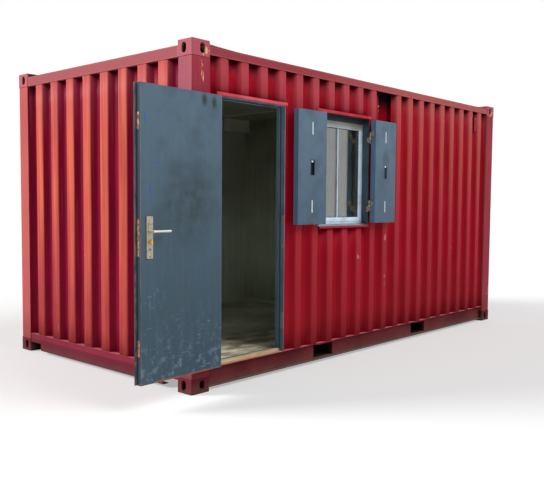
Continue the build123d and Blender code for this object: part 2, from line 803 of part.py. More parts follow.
# Strike plates on the lock jamb, one for each bolt.
strikes = []
strike_deep = (leaf_middle - strike_wide / 2, leaf_middle + strike_wide / 2)
for up, tall in zip(bolt_ups, bolt_talls):
    half = tall / 2 + strike_extra
    strikes.append(block((door_clear_to - strike_thick, door_clear_to), strike_deep, (up - half, up + half)))
keep("strike_plates", *strikes)

# Door hinges: three, the middle one half-way between the others.
first_hinge = door_low + door_hinge_from_end
last_hinge = door_high - door_hinge_from_end - 2 * hinge_half_tall
door_hinge_lows = [first_hinge, (first_hinge + last_hinge) / 2, last_hinge]
door_hinges = [hinge_pair(door_pin, 1, low) for low in door_hinge_lows]
keep("door_hinge_knuckles", *[swing(moving, door_pin, -door_open_deg) for fixed, moving in door_hinges])


# Shutters: steel leaves with a hand grip and two bolt slots let into the inner face.
def shutter_leaf(start, end):
    deep = (-leaf_face_out, shutter_thick - leaf_face_out)
    slab = block((start, end), deep, (shutter_low, shutter_high))
    middle = (start + end) / 2

    def pocket(wide, sunk, low, tall):
        return block((middle - wide / 2, middle + wide / 2), (deep[1] - sunk, deep[1]), (low, low + tall))

    upper = shutter_high - shutter_slot_from_end - shutter_slot_tall
    for low in (shutter_low + shutter_slot_from_end, upper):
        slab -= pocket(shutter_slot_wide, shutter_slot_deep, low, shutter_slot_tall)
    grip_low = (shutter_low + shutter_high - shutter_grip_tall) / 2
    slab -= pocket(shutter_grip_wide, shutter_grip_deep, grip_low, shutter_grip_tall)
    return slab


shutter_hinge_lows = [
    shutter_low + shutter_hinge_from_end,
    shutter_high - shutter_hinge_from_end - 2 * hinge_half_tall,
]
left_pin = window_clear_from + leaf_side_gap / 2
right_pin = window_clear_to - leaf_side_gap / 2
left_leaf_from = window_clear_from + leaf_side_gap
right_leaf_to = window_clear_to - leaf_side_gap
shutters = [
    ("left_shutter", left_pin, 1, left_shutter_open_deg, (left_leaf_from, left_leaf_from + shutter_wide)),
    ("right_shutter", right_pin, -1, right_shutter_open_deg, (right_leaf_to - shutter_wide, right_leaf_to)),
]
hinge_pins = [fixed for fixed, moving in door_hinges]
for name, pin, side, open_deg, span in shutters:
    turn = -side * open_deg
    hinges = [hinge_pair(pin, side, low) for low in shutter_hinge_lows]
    hinge_pins += [fixed for fixed, moving in hinges]
    keep(name + "_leaf", swing(shutter_leaf(*span), pin, turn))
    keep(name + "_knuckles", *[swing(moving, pin, turn) for fixed, moving in hinges])
keep("hinge_pins", *hinge_pins)

os.makedirs("parts", exist_ok=True)
for name, shape in pieces.items():
    export_step(shape, "parts/" + name + ".step")
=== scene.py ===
import json
import math
import bmesh
import bpy
from mathutils import Matrix, Vector


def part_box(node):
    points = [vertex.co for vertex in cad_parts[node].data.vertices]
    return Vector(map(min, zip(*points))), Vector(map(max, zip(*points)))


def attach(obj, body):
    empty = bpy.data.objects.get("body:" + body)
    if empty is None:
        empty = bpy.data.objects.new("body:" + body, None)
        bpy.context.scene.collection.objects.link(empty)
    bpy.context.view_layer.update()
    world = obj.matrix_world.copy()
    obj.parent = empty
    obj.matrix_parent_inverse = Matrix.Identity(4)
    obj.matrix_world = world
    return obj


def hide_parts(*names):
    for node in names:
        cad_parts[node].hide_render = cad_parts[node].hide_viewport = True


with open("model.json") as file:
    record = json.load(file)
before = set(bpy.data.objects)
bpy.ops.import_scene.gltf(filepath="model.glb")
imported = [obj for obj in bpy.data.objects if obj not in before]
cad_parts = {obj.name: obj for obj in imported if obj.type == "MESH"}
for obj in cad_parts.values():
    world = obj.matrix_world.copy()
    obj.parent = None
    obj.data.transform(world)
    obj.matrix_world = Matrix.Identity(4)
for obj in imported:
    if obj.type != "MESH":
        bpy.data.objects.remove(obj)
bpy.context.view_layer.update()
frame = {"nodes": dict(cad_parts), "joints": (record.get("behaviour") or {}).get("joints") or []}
cad = frame["nodes"]


# Underframe: bottom corner fittings, pressed side rails, end sills, fork pockets and floor channels,
# all steel welded together and painted red. Road dirt and splashed mud have dulled it from below.
# Its faces under the floor are painted near black as painted shade, and the tops of its ledges are
# painted pale pink, partly as settled dust and partly as a painted highlight.
def paint_colour(red, green, blue, share=1.0):
    """A colour read off a screen, darkened to a share of its light, as the linear values a shader takes."""
    spread = []
    for value in (red / 255, green / 255, blue / 255):
        linear = value / 12.92 if value <= 0.04045 else ((value + 0.055) / 1.055) ** 2.4
        spread.append(linear * share)
    return (*spread, 1.0)


def plug(node, sockets):
    """Give a node's sockets their values, or the wires that lead to them."""
    for key, value in sockets.items():
        for one in value if isinstance(value, list) else [value]:
            if isinstance(one, Wire):
                one.tree.links.new(one.socket, node.inputs[key])
            else:
                node.inputs[key].default_value = one


class Wire:
    """An output socket of a node tree; sums on it add Math nodes."""

    def __init__(self, tree, socket=None):
        self.tree = tree
        self.socket = socket

    def add(self, kind, settings, sockets, out=0):
        """Add any node: its settings first, then the values or links of its sockets."""
        node = self.tree.nodes.new(kind)
        for name, value in settings.items():
            setattr(node, name, value)
        plug(node, sockets)
        return Wire(self.tree, node.outputs[out])

    def maths(self, operation, *values, kind="ShaderNodeMath", out=0):
        return self.add(kind, {"operation": operation}, dict(enumerate((self, *values))), out)

    def vector(self, operation, *values, out=0):
        return self.maths(operation, *values, kind="ShaderNodeVectorMath", out=out)

    def __add__(self, other):
        return self.maths("ADD", other)

    def __sub__(self, other):
        return self.maths("SUBTRACT", other)

    def __rsub__(self, other):
        return self * -1.0 + other

    def __mul__(self, other):
        return self.maths("MULTIPLY", other)

    def __truediv__(self, other):
        return self.maths("DIVIDE", other)

    __radd__ = __add__
    __rmul__ = __mul__

    def ease(self, low, high):
        """0 at low and 1 at high, smooth between; high may be the lesser."""
        ends = {0: self, 1: low, 2: high}
        return self.add("ShaderNodeMapRange", {"interpolation_type": "SMOOTHSTEP"}, ends)

    def mix(self, under, over):
        """The colour under where this mask is 0, and over where it is 1; plain ones as read off a screen."""
        pair = [one if isinstance(one, Wire) else paint_colour(*one) for one in (under, over)]
        return self.add("ShaderNodeMix", {"data_type": "RGBA"}, {0: self, 6: pair[0], 7: pair[1]}, 2)

    def axis(self, name):
        return self.add("ShaderNodeSeparateXYZ", {}, {0: self}, "XYZ".index(name))

    def off(self, name):
        """How far this place is from the cabin's middle along one axis."""
        return self.axis(name).maths("ABSOLUTE")

    def facing(self, name):
        """How squarely the surface faces along one axis, from -1 to 1."""
        return self.add("ShaderNodeNewGeometry", {}, {}, "Normal").axis(name)

    def across(self, name):
        """How squarely the surface lies across one axis, from 0 to 1."""
        return self.facing(name).maths("ABSOLUTE")

    def grain(self, size, detail=3.0, stretch=(1.0, 1.0, 1.0)):
        """Noise on this place, with blotches about this many metres across."""
        spread = self.vector("MULTIPLY", tuple(1.0 / (size * one) for one in stretch))
        return self.add("ShaderNodeTexNoise", {}, {"Vector": spread, "Scale": 1.0, "Detail": detail})

    def spot(self, centre, reach):
        """A soft blot on this place: 1 in its middle and 0 beyond its reach along each axis."""
        off = self.vector("SUBTRACT", centre).vector("DIVIDE", reach)
        return off.vector("LENGTH", out="Value").ease(1.0, 0.2)


def new_finish(name, gloss=0.1):
    """A material, its shader, and the place on the piece that its patterns read."""
    material = bpy.data.materials.new(name)
    material.use_nodes = True
    tree = material.node_tree
    shader = tree.nodes["Principled BSDF"]
    plug(shader, {"Specular IOR Level": gloss})
    return material, shader, Wire(tree).add("ShaderNodeTexCoord", {}, {}, "Object")


def coated(colour, *coats):
    """A colour under coats that lie one over another, each as its mask and its colour."""
    for mask, over in coats:
        colour = mask.mix(colour, over)
    return colour


def lay(shader, colour, rough, height, depth, metal=0.0):
    """Give a shader its colour, its roughness, a relief this many metres deep, and its share of metal."""
    bump = height.add("ShaderNodeBump", {}, {"Height": height, "Distance": depth, "Strength": 1.0}, "Normal")
    plug(shader, {"Base Color": colour, "Roughness": rough, "Normal": bump, "Metallic": metal})


def dress(material, *names):
    for name in names:
        cad[name].data.materials.clear()
        cad[name].data.materials.append(material)


rust_brown, mud_dry, dust_and_highlight_pink = (98, 54, 34), (112, 92, 82), (222, 122, 132)
under_paint, shader, place = new_finish("underframe_paint")
up = place.axis("Z")
patch = place.grain(0.4, 5).ease(0.3, 0.75)
end_plate = place.across("X").ease(0.6, 0.95) * place.off("X").ease(2.36, 2.42)
ledge = place.facing("Z").ease(0.5, 0.95)
splash = (up.ease(0.1, 0.02) * 0.7 + ledge * up.ease(0.08, 0.05)) * (0.25 + place.grain(0.07, 5) * 0.7)
foot_block = place.off("X").ease(2.25, 2.27) * up.ease(0.13, 0.115)
# Painted shade: the faces under the floor, within the rails and end sills, are painted near black.
painted_shade_beneath = place.off("Y").ease(1.173, 1.13) * place.off("X").ease(2.42, 2.36)
colour = coated(
    patch.mix((82, 24, 30), (112, 42, 46)),
    (place.off("Y").ease(1.2, 1.214), (98, 26, 34)),
    (end_plate, patch.mix((122, 28, 50), (138, 42, 62))),
    # The tops of the ledges are painted pale pink: partly settled dust, partly a painted highlight.
    (ledge * up.ease(0.14, 0.165) * 0.8, dust_and_highlight_pink),
    (splash, mud_dry),
    (place.grain(0.03, 6).ease(0.7, 0.78), rust_brown),
    (foot_block * 0.5, (58, 20, 26)),
    (painted_shade_beneath * 0.9, (22, 10, 10)))
lay(shader, colour, 0.5 + place.grain(0.15, 4) * 0.3, place.grain(0.006) * 0.3 + place.grain(0.08), 0.0015)
dress(under_paint, "bottom_corner_castings", "long_bottom_rails", "end_sills", "fork_pocket_tops",
      "fork_pocket_sides", "fork_pocket_straps", "floor_cross_members")


# Upper frame: posts folded from plate between the cast corner fittings, with square tube along the
# top. The same red paint, faded and painted lighter on the ends as painted sunlight, painted near black
# within the frame under the top as painted shade, and scratched to its primer where chains have hung.
def edge_band(place, reach):
    """How near a place is to an outside edge, from the normals that a rounded edge would have."""
    flat = place.add("ShaderNodeNewGeometry", {}, {}, "Normal")
    rounded = place.add("ShaderNodeBevel", {"samples": 4}, {"Radius": reach}, "Normal")
    return (1.0 - flat.vector("DOT_PRODUCT", rounded, out="Value")).ease(0.01, 0.2)


primer_tan = (230, 170, 122)
casting_low = 2.473
frame_paint, shader, place = new_finish("red_frame_paint")
up = place.axis("Z")
runs = place.grain(0.045, 4, (1, 1, 24))
patch = place.grain(0.5, 5)
on_end = place.across("X").ease(0.5, 0.95)
# Painted sunlight: the end faces are painted lighter and coral, partly sun fading, and the far posts' end
# faces more so.
fade_and_painted_sun = place.grain(0.9, 3, (1, 1, 3)).ease(0.35, 0.65).mix((164, 94, 108), (180, 98, 92))
far_post_painted_sun = place.axis("Y").ease(1.03, 1.06) * on_end
at_casting = up.ease(casting_low - 0.002, casting_low + 0.002)
header = place.off("Y").ease(1.06, 1.03) * at_casting
side_rail = place.off("X").ease(2.27, 2.25) * place.off("Y").ease(1.1, 1.14)
rail_tone = place.axis("X").ease(-1.4, 0.6).mix((136, 28, 42), (170, 78, 74))
# Painted shade: the faces within the top frame, under its top, are painted near black.
painted_shade_inside = place.off("Y").ease(1.214, 1.2) * place.off("X").ease(2.434, 2.42) * at_casting
rim = edge_band(place, 0.012) * at_casting * (place.grain(0.03, 5) + 0.25)
chain_marks = place.spot((-2.334, -1.217, 2.36), (0.03, 0.03, 0.15))
chain_marks = chain_marks + place.spot((-2.31, -1.22, 2.52), (0.07, 0.03, 0.075))
chain_marks = chain_marks + place.spot((2.35, -1.22, 2.5), (0.1, 0.03, 0.16)) * 0.7
chain_marks = chain_marks + place.spot((2.4, -1.22, 0.36), (0.06, 0.04, 0.09))
scratch = place.grain(0.016, 6, (1, 1, 3)) + chain_marks * 0.24
colour = coated(
    (patch.ease(0.35, 0.75) * 0.8).mix((140, 30, 50), (158, 56, 72)),
    (on_end * (0.3 + patch * 0.6), fade_and_painted_sun),
    (far_post_painted_sun * 0.35, (212, 92, 74)),
    (runs.ease(0.52, 0.75) * 0.3, (190, 92, 96)),
    (at_casting * 0.7, (182, 92, 106)),
    (header * 0.5, (146, 66, 66)),
    (side_rail * 0.6, rail_tone),
    (painted_shade_inside * up.ease(2.589, 2.58), (40, 14, 16)),
    (place.facing("Z").ease(0.5, 0.95) * 0.6, (190, 116, 114)),
    (rim.ease(0.34, 0.6) * 0.8, (166, 122, 98)),
    (scratch.ease(0.74, 0.79), primer_tan),
    (up.ease(0.45, 0.1) * (0.25 + place.grain(0.12, 5) * 0.5), (96, 40, 44)))
lay(shader, colour, 0.42 + patch * 0.25, place.grain(0.004, 2) * 0.15 + patch, 0.001)
dress(frame_paint, "top_corner_castings", "corner_posts", "long_top_rails", "end_headers")


# Weld beads: the run of weld that closes each post against its fittings and each wall against the
# ledge it stands on, laid in ripples by hand and painted over.
def new_tree(name, inputs):
    """An empty geometry tree with these named inputs, and a wire from each."""
    tree = bpy.data.node_groups.new(name, "GeometryNodeTree")
    for label, kind in inputs.items():
        tree.interface.new_socket(label, in_out="INPUT", socket_type="NodeSocket" + kind)
    tree.interface.new_socket("Made", in_out="OUTPUT", socket_type="NodeSocketGeometry")
    given = tree.nodes.new("NodeGroupInput")
    return tree, {label: Wire(tree, given.outputs[label]) for label in inputs}


def end_tree(shape, finish):
    """Close a tree: what it made becomes real faces in this finish."""
    shape = shape.add("GeometryNodeRealizeInstances", {}, {"Geometry": shape})
    shape = shape.add("GeometryNodeSetMaterial", {}, {"Geometry": shape, "Material": finish})
    plug(shape.tree.nodes.new("NodeGroupOutput"), {0: shape})


def placed(name, data):
    """A new object in the scene, at the origin."""
    thing = bpy.data.objects.new(name, data)
    bpy.context.scene.collection.objects.link(thing)
    return thing


def from_tree(name, tree, sizes, places=None, thickness=0.0):
    """A plain mesh made by a tree with these sizes, on these places, thickened inwards."""
    maker = placed(name, places or bpy.data.meshes.new(name))
    modifier = maker.modifiers.new("tree", "NODES")
    modifier.node_group = tree
    for socket in tree.interface.items_tree:
        if socket.in_out == "INPUT" and socket.name in sizes:
            modifier[socket.identifier] = sizes[socket.name]
    if thickness:
        thicken = maker.modifiers.new("thickness", "SOLIDIFY")
        thicken.thickness = thickness
        thicken.offset = -1.0
    found = bpy.context.evaluated_depsgraph_get()
    mesh = bpy.data.meshes.new_from_object(maker.evaluated_get(found), depsgraph=found)
    bpy.data.objects.remove(maker)
    return mesh


def finished(name, shape, finish):
    """The mesh of a shape, all in one finish."""
    for face in shape.faces:
        face.material_index = 0
    mesh = bpy.data.meshes.new(name)
    shape.to_mesh(mesh)
    shape.free()
    mesh.materials.clear()
    mesh.materials.append(finish)
    return mesh


def joined(name, meshes, finish):
    """One mesh of several, all in one finish."""
    shape = bmesh.new()
    for mesh in meshes:
        shape.from_mesh(mesh)
        bpy.data.meshes.remove(mesh)
    return finished(name, shape, finish)


def new_piece(mesh, body="cabin", stands_for=None):
    """Make a mesh a piece that rides on a body, in place of a node of the frame or beside them."""
    piece = placed(mesh.name, mesh)
    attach(piece, body)
    if stands_for:
        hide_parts(stands_for)


half_long, half_wide = 2438.5, 1219.0


def at(along, deep, up):
    """A place on the cabin in millimetres: along from the left end, deep behind the door side, and up."""
    return Vector((along - half_long, deep - half_wide, up)) / 1000.0


weld_paint, shader, place = new_finish("painted_weld")
colour = place.grain(0.02, 4).ease(0.3, 0.7).mix((92, 22, 32), (150, 58, 62))
lay(shader, colour, 0.5, place.grain(0.003), 0.0006)

weld_bead, size = new_tree("weld_bead", {
    "Path": "Geometry", "Bead Radius": "Float", "Ripple Pitch": "Float", "Ripple Height": "Float",
    "Finish": "Material"})
path = size["Path"].add("GeometryNodeMeshToCurve", {}, {"Mesh": size["Path"]})
path = path.add("GeometryNodeResampleCurve", {"mode": "LENGTH"}, {
    "Curve": path, "Length": size["Ripple Pitch"] / 3.0})
gone = path.add("GeometryNodeSplineParameter", {}, {}, "Length")
ripple = (gone * (2.0 * math.pi) / size["Ripple Pitch"]).maths("SINE") * size["Ripple Height"]
section = path.add("GeometryNodeCurvePrimitiveCircle", {}, {"Resolution": 6, "Radius": size["Bead Radius"]})
bead = path.add("GeometryNodeCurveToMesh", {}, {
    "Curve": path, "Profile Curve": section, "Scale": 1.0 + ripple, "Fill Caps": True})
end_tree(bead, size["Finish"])


def weld_run(name, radius, pitch, ripple, lines):
    """Lay a bead of weld along each of these lines of points."""
    points, edges = [], []
    for line in lines:
        edges += [(len(points) + step, len(points) + step + 1) for step in range(len(line) - 1)]
        points += line
    path = bpy.data.meshes.new("line")
    path.from_pydata(points, edges, [])
    sizes = {"Bead Radius": radius, "Ripple Pitch": pitch, "Ripple Height": ripple, "Finish": weld_paint}
    new_piece(joined(name, [from_tree(name, weld_bead, sizes, path)], weld_paint))


post_face, post_edge, post_far, post_side, post_round = 3.0, 178.0, 153.0, 6.0, 10.0
corner_line = [(post_edge, post_face), (post_face + post_round, post_face), (post_side, post_side),
               (post_face, post_face + post_round), (post_face, post_far)]
corner_signs = [(1, 1), (1, -1), (-1, 1), (-1, -1)]
joints_up = (118.0, 2473.0)
post_joints = []
for along_sign, deep_sign in corner_signs:
    mirror = Vector((along_sign, deep_sign, 1))
    for up in joints_up:
        post_joints.append([at(along, deep, up) * mirror for along, deep in corner_line])
weld_run("post_welds", 0.0032, 0.009, 0.22, post_joints)


# Floor: sheets of thick plywood laid on the floor channels and screwed down in rows, worn pale and
# grey by boots, with grit and wet marks near the door, and painted paler towards the door as painted
# light from the doorway.
board_long = 1.22
floor_finish, shader, place = new_finish("worn_floor_board")
deep = place.axis("Y")
grain_lines = place.grain(0.012, 4, (30, 1, 1))
worn = place.grain(0.35, 5)
stain = deep.ease(-0.2, -0.7) * place.grain(0.14, 6, (2, 1, 1)).ease(0.42, 0.62)
wet = place.spot((-1.75, -0.65, 0.19), (0.6, 0.35, 0.2)) * place.grain(0.15, 5).ease(0.4, 0.65)
joint = place.axis("X").maths("PINGPONG", board_long / 2).ease(0.004, 0.0)
colour = coated(
    worn.ease(0.35, 0.7).mix((186, 184, 166), (220, 218, 202)),
    (grain_lines.ease(0.5, 0.75) * 0.3, (96, 84, 66)),
    # Painted light: the floor is painted paler towards the door, where light falls in from the doorway.
    (deep.ease(-0.45, -0.95) * (0.5 + worn * 0.6), (250, 240, 212)),
    (stain * 0.75, (118, 110, 84)),
    (wet * 0.6, (84, 76, 58)),
    (joint, (40, 34, 28)))
lay(shader, colour, 0.85, grain_lines * 0.4 + worn - joint * 2.0, 0.001)
dress(floor_finish, "floor_deck")


def bare_metal(name, clean, stained, stain_from, rough):
    """Plated or bare metal with stains creeping over it."""
    material, shader, place = new_finish(name, 0.5)
    stain = place.grain(0.02, 5).ease(stain_from, stain_from + 0.2)
    brushed = place.grain(0.002, 2, (1, 1, 8))
    lay(shader, stain.mix(clean, stained), rough + stain * 0.35, brushed, 0.0002, 0.85 - stain * 0.6)
    return material


screw_zinc = bare_metal("zinc_screw", (176, 172, 160), (112, 92, 70), 0.5, 0.4)
screw_head, size = new_tree("screw_head", {
    "Places": "Geometry", "Head Radius": "Float", "Head Height": "Float", "Facing": "Vector",
    "Finish": "Material"})
radius, rise = size["Head Radius"], size["Head Height"]
head = radius.add("GeometryNodeMeshCone", {}, {
    "Vertices": 14, "Radius Top": radius * 0.66, "Radius Bottom": radius, "Depth": rise})
cuts = []
for wide, long in ((0.24, 1.1), (1.1, 0.24)):
    cut_size = radius.add("ShaderNodeCombineXYZ", {}, {0: radius * wide, 1: radius * long, 2: rise})
    cut = radius.add("GeometryNodeMeshCube", {}, {"Size": cut_size})
    lift = radius.add("ShaderNodeCombineXYZ", {}, {2: rise})
    cuts.append(radius.add("GeometryNodeTransform", {}, {"Geometry": cut, "Translation": lift}))
cross = radius.add("GeometryNodeMeshBoolean", {"operation": "UNION"}, {"Mesh 2": cuts})
head = head.add("GeometryNodeMeshBoolean", {"operation": "DIFFERENCE"}, {"Mesh 1": head, "Mesh 2": cross})
turned = radius.add("FunctionNodeAlignRotationToVector", {"axis": "Z"}, {"Vector": size["Facing"]})
heads = radius.add("GeometryNodeInstanceOnPoints", {}, {
    "Points": size["Places"], "Instance": head, "Rotation": turned})
end_tree(heads, size["Finish"])


def screws(name, radius, rise, *rows):
    """Screw heads in rows, each row as its places and the way its heads face."""
    meshes = []
    for places, facing in rows:
        points = bpy.data.meshes.new("places")
        points.from_pydata(places, [], [])
        sizes = {"Head Radius": radius, "Head Height": rise, "Facing": facing, "Finish": screw_zinc}
        meshes.append(from_tree(name, screw_head, sizes, points))
    return joined(name, meshes, screw_zinc)


floor_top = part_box("floor_deck")[1].z
member_pitch, member_number = 0.4, 5
screw_pitch, screw_number = 0.25, 4
floor_screws = []
for step in range(-member_number, member_number + 1):
    for across in range(-screw_number, screw_number + 1):
        floor_screws.append((step * member_pitch, across * screw_pitch, floor_top))
new_piece(screws("floor_screws", 0.0055, 0.001, (floor_screws, (0, 0, 1))))


# Walls: sheet steel folded into flat crests and troughs, welded to the rails and posts all round.
# The crests stand in the weather and are painted paler than the troughs, partly as sun fading and
# partly as painted light, the more so on the end walls; the troughs keep the deep red of the new paint.
sheet_inset, first_crest = 10.0, 296.0
sheet_thick = 0.002
side_ribs = {"Pitch": 0.221, "Crest": 0.072, "Slope": 0.048, "Depth": 0.036, "Face": at(0, sheet_inset, 0).y}
side_ribs["Crest Middle"] = at(first_crest, 0, 0).x + side_ribs["Crest"] / 2
back_ribs = {**side_ribs, "Crest Middle": -side_ribs["Crest Middle"]}
end_ribs = {"Pitch": 0.251, "Crest": 0.105, "Slope": 0.045, "Depth": 0.045, "Face": at(sheet_inset, 0, 0).x}
end_ribs["Crest Middle"] = end_ribs["Pitch"] / 2
column_step, row_step, foot_step = 0.006, 0.2, 0.01


def wall_paint(name, deep, faded_and_lit, fade_and_light_level, streaks, foot):
    """Red paint, deep in the troughs and paler on the crests (partly faded, partly painted light), with
    painted shade at the tops of the troughs, marked by rain and knocks.
    """
    material, shader, place = new_finish(name, 0.06)
    up = place.axis("Z")
    crest = place.add("ShaderNodeAttribute", {"attribute_name": "crest"}, {}, "Fac")
    patches = place.grain(0.6, 5)
    runs = place.grain(0.04, 4, (1, 1, 30))
    # The crests are painted paler than the troughs: partly sun fading, partly painted light.
    crest_fade_and_light = crest.ease(0.8, 1.0) * (0.7 + up.ease(0.4, 1.6) * 0.3)
    crest_fade_and_light = crest_fade_and_light * (fade_and_light_level + (patches - 0.5) * 0.45 + (runs - 0.5) * streaks)
    sunned = up.ease(1.0, 2.2) * place.axis("X").ease(-0.4, 0.8) * crest.ease(0.6, 0.96)
    door_side = -1.2
    scuff = place.grain(0.05, 6, (1, 1, 2.5)) + crest * 0.06
    knocks = ((0.10, 0.67, 0.12), (0.10, 1.08, 0.06), (-0.33, 0.9, 0.06), (-0.52, 0.68, 0.12))
    for along, height, tall in knocks:
        scuff = scuff + place.spot((along, door_side, height), (0.05, 0.1, tall)) * 0.24
    low = up.ease(1.0, 0.2) * (0.15 + place.grain(0.2, 5) * 0.6)
    # Painted shade: the tops of the troughs under the rail are painted near black.
    painted_shade_under_rail = (1.0 - crest.ease(0.3, 0.9)) * up.ease(2.36, 2.49) * (0.55 + place.grain(0.08, 4) * 0.6)
    pen = place.spot((-0.345, door_side, 1.07), (0.008, 0.1, 0.03))
    pen = pen + place.spot((-0.30, door_side, 0.89), (0.008, 0.1, 0.022))
    colour = coated(
        patches.ease(0.3, 0.7).mix(deep, (*deep, 0.78)),
        (crest_fade_and_light, faded_and_lit),
        (up.ease(1.9, 2.5) * crest.ease(0.0, 0.8) * 0.3, (196, 100, 112)),
        (sunned * (0.2 + patches * 0.4), (188, 96, 80)),
        (runs.ease(0.6, 0.8) * 0.22, faded_and_lit),
        (scuff.ease(0.77, 0.83) * 0.6, (212, 140, 136)),
        (low, foot),
        (painted_shade_under_rail * 0.8, (40, 4, 14)),
        (pen * 0.7, (80, 70, 140)))
    relief = place.grain(0.005, 2) * 0.15 + place.grain(0.25, 2)
    lay(shader, colour, 0.4 + patches * 0.2 + low * 0.2, relief, 0.0012)
    return material


# The end walls take a paler, more coral copy of the side paint, partly sun fading and partly painted
# sunlight.
side_paint = wall_paint("red_side_paint", (160, 8, 32), (170, 62, 68), 0.42, 0.4, (128, 30, 38))
end_paint = wall_paint("red_end_paint", (134, 3, 46), (218, 104, 78), 0.66, 1.5, (132, 24, 46))

sheet_lengths = ("Start", "End", "Low", "High", "Face", "Crest Middle", "Pitch", "Crest", "Slope", "Depth",
                 "Bend Softness", "Dent")
folded_sheet, size = new_tree("folded_sheet", {
    **dict.fromkeys(sheet_lengths, "Float"), "Columns": "Int", "Rows": "Int", "Paint": "Material"})
grid = size["Start"].add("GeometryNodeMeshGrid", {}, {
    "Size X": 1.0, "Size Y": 1.0, "Vertices X": size["Columns"], "Vertices Y": size["Rows"]}, "Mesh")
where = grid.add("GeometryNodeInputPosition", {}, {})
along = size["Start"] + (where.axis("X") + 0.5) * (size["End"] - size["Start"])
up = size["Low"] + (where.axis("Y") + 0.5) * (size["High"] - size["Low"])
off_crest = (along - size["Crest Middle"]).maths("PINGPONG", size["Pitch"] * 0.5)
fall = (off_crest - size["Crest"] * 0.5) / size["Slope"]
fall = fall.maths("SMOOTH_MAX", 0.0, size["Bend Softness"]).maths("SMOOTH_MIN", 1.0, size["Bend Softness"])
on_face = along.add("ShaderNodeCombineXYZ", {}, {0: along, 1: size["Face"], 2: up})
dent = along.add("ShaderNodeTexNoise", {}, {"Vector": on_face, "Scale": 1.7, "Detail": 2.0}) - 0.5
held_edge = (where.axis("Y") + 0.5).maths("PINGPONG", 0.5).ease(0.0, 0.2)
laid = along.add("ShaderNodeCombineXYZ", {}, {
    0: along, 1: size["Face"] + fall * size["Depth"] + dent * size["Dent"] * held_edge, 2: up})
sheet = grid.add("GeometryNodeStoreNamedAttribute", {"data_type": "FLOAT", "domain": "POINT"},
                 {"Geometry": grid, "Name": "crest", "Value": 1.0 - fall})
sheet = sheet.add("GeometryNodeSetPosition", {}, {"Geometry": sheet, "Position": laid})
end_tree(sheet.add("GeometryNodeSetShadeSmooth", {}, {"Geometry": sheet}), size["Paint"])


def wall_sheet(node, panels, ribs, turn, paint):
    """The sheet that stands for one wall node: panels as (start, end, low, high), turned into place."""
    made = []
    for start, end, low, high in panels:
        sizes = {"Start": start, "End": end, "Low": low, "High": high, "Paint": paint, **ribs}
        sizes["Bend Softness"] = 0.24
        sizes["Dent"] = 0.004
        sizes["Columns"] = max(3, round((end - start) / column_step))
        sizes["Rows"] = max(3, round((high - low) / row_step))
        panel = from_tree(node, folded_sheet, sizes, thickness=sheet_thick)
        panel.transform(Matrix.Rotation(turn, 4, "Z"))
        made.append(panel)
    new_piece(joined(node + "_sheet", made, paint), stands_for=node)


def foot_line(start, end, up, ribs, turn):
    """The line of a sheet's outer face where it stands on its ledge."""
    half = ribs["Pitch"] / 2
    steps = max(2, round((end - start) / foot_step))
    line = []
    for step in range(steps + 1):
        along = start + (end - start) * step / steps
        off = abs((along - ribs["Crest Middle"] + half) % ribs["Pitch"] - half)
        fall = min(1.0, max(0.0, (off - ribs["Crest"] / 2) / ribs["Slope"]))
        line.append(Matrix.Rotation(turn, 3, "Z") @ Vector((along, ribs["Face"] + fall * ribs["Depth"], up)))
    return line


niche_low, niche_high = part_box("supply_niche")
tray_plate = 0.002
hole_from, hole_to = niche_low.x + tray_plate, niche_high.x - tray_plate
foot_lines = []
for node in ("front_wall_left", "front_wall_over_door", "front_wall_between", "front_wall_over_window",
             "front_wall_under_window", "front_wall_right", "back_wall", "left_end_wall", "right_end_wall"):
    low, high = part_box(node)
    if node.endswith("end_wall"):
        start, end, ribs, paint = low.y, high.y, end_ribs, end_paint
        turn = -math.pi / 2 if "left" in node else math.pi / 2
    elif node == "back_wall":
        start, end, ribs, paint = -high.x, -low.x, back_ribs, side_paint
        turn = math.pi
    else:
        start, end, ribs, paint = low.x, high.x, side_ribs, side_paint
        turn = 0.0
    panels = [(start, end, low.z, high.z)]
    if node == "front_wall_right":
        panels = [(start, hole_from, low.z, high.z), (hole_to, end, low.z, high.z),
                  (hole_from, hole_to, low.z, niche_low.z + tray_plate)]
    wall_sheet(node, panels, ribs, turn, paint)
    if "over" not in node:
        foot_lines += [foot_line(*panel[:3], ribs, turn) for panel in panels]
weld_run("wall_foot_welds", 0.003, 0.018, 0.25, foot_lines)


# Roof: one sheet with closed ribs pressed up across it, welded to the top rails, with a thin plate
# at each corner where lifting hooks swing. It holds dust and rain stains, and is never repainted.
roof_paint, shader, place = new_finish("red_roof_paint")
settled = place.facing("Z").ease(0.4, 0.95)
pools = place.grain(0.3, 5).ease(0.4, 0.7)
rust = place.grain(0.07, 6).ease(0.63, 0.74)
colour = coated(
    pools.mix((142, 40, 44), (168, 84, 80)),
    (settled * place.grain(0.12, 5) * 0.8, (184, 130, 122)),
    (rust, rust_brown))
relief = place.grain(0.01) * 0.2 + place.grain(0.3, 2) + rust * 0.4
lay(shader, colour, 0.5 + pools * 0.2 + rust * 0.2, relief, 0.0015)
dress(roof_paint, "roof_sheet")

along_way, deep_way, up_way = Vector((1, 0, 0)), Vector((0, 1, 0)), Vector((0, 0, 1))


def rounded_outline(centre, wide, tall, radius, upward=up_way, steps=5):
    """Points round a plate with rounded corners, wide along the cabin."""
    points = []
    for quarter in range(4):
        side_x = 1 if quarter in (0, 3) else -1
        side_y = 1 if quarter in (0, 1) else -1
        for step in range(steps + 1):
            turn = math.radians(90 * quarter + 90 * step / steps)
            x = side_x * (wide / 2 - radius) + radius * math.cos(turn)
            y = side_y * (tall / 2 - radius) + radius * math.sin(turn)
            points.append(centre + along_way * x + upward * y)
    return points


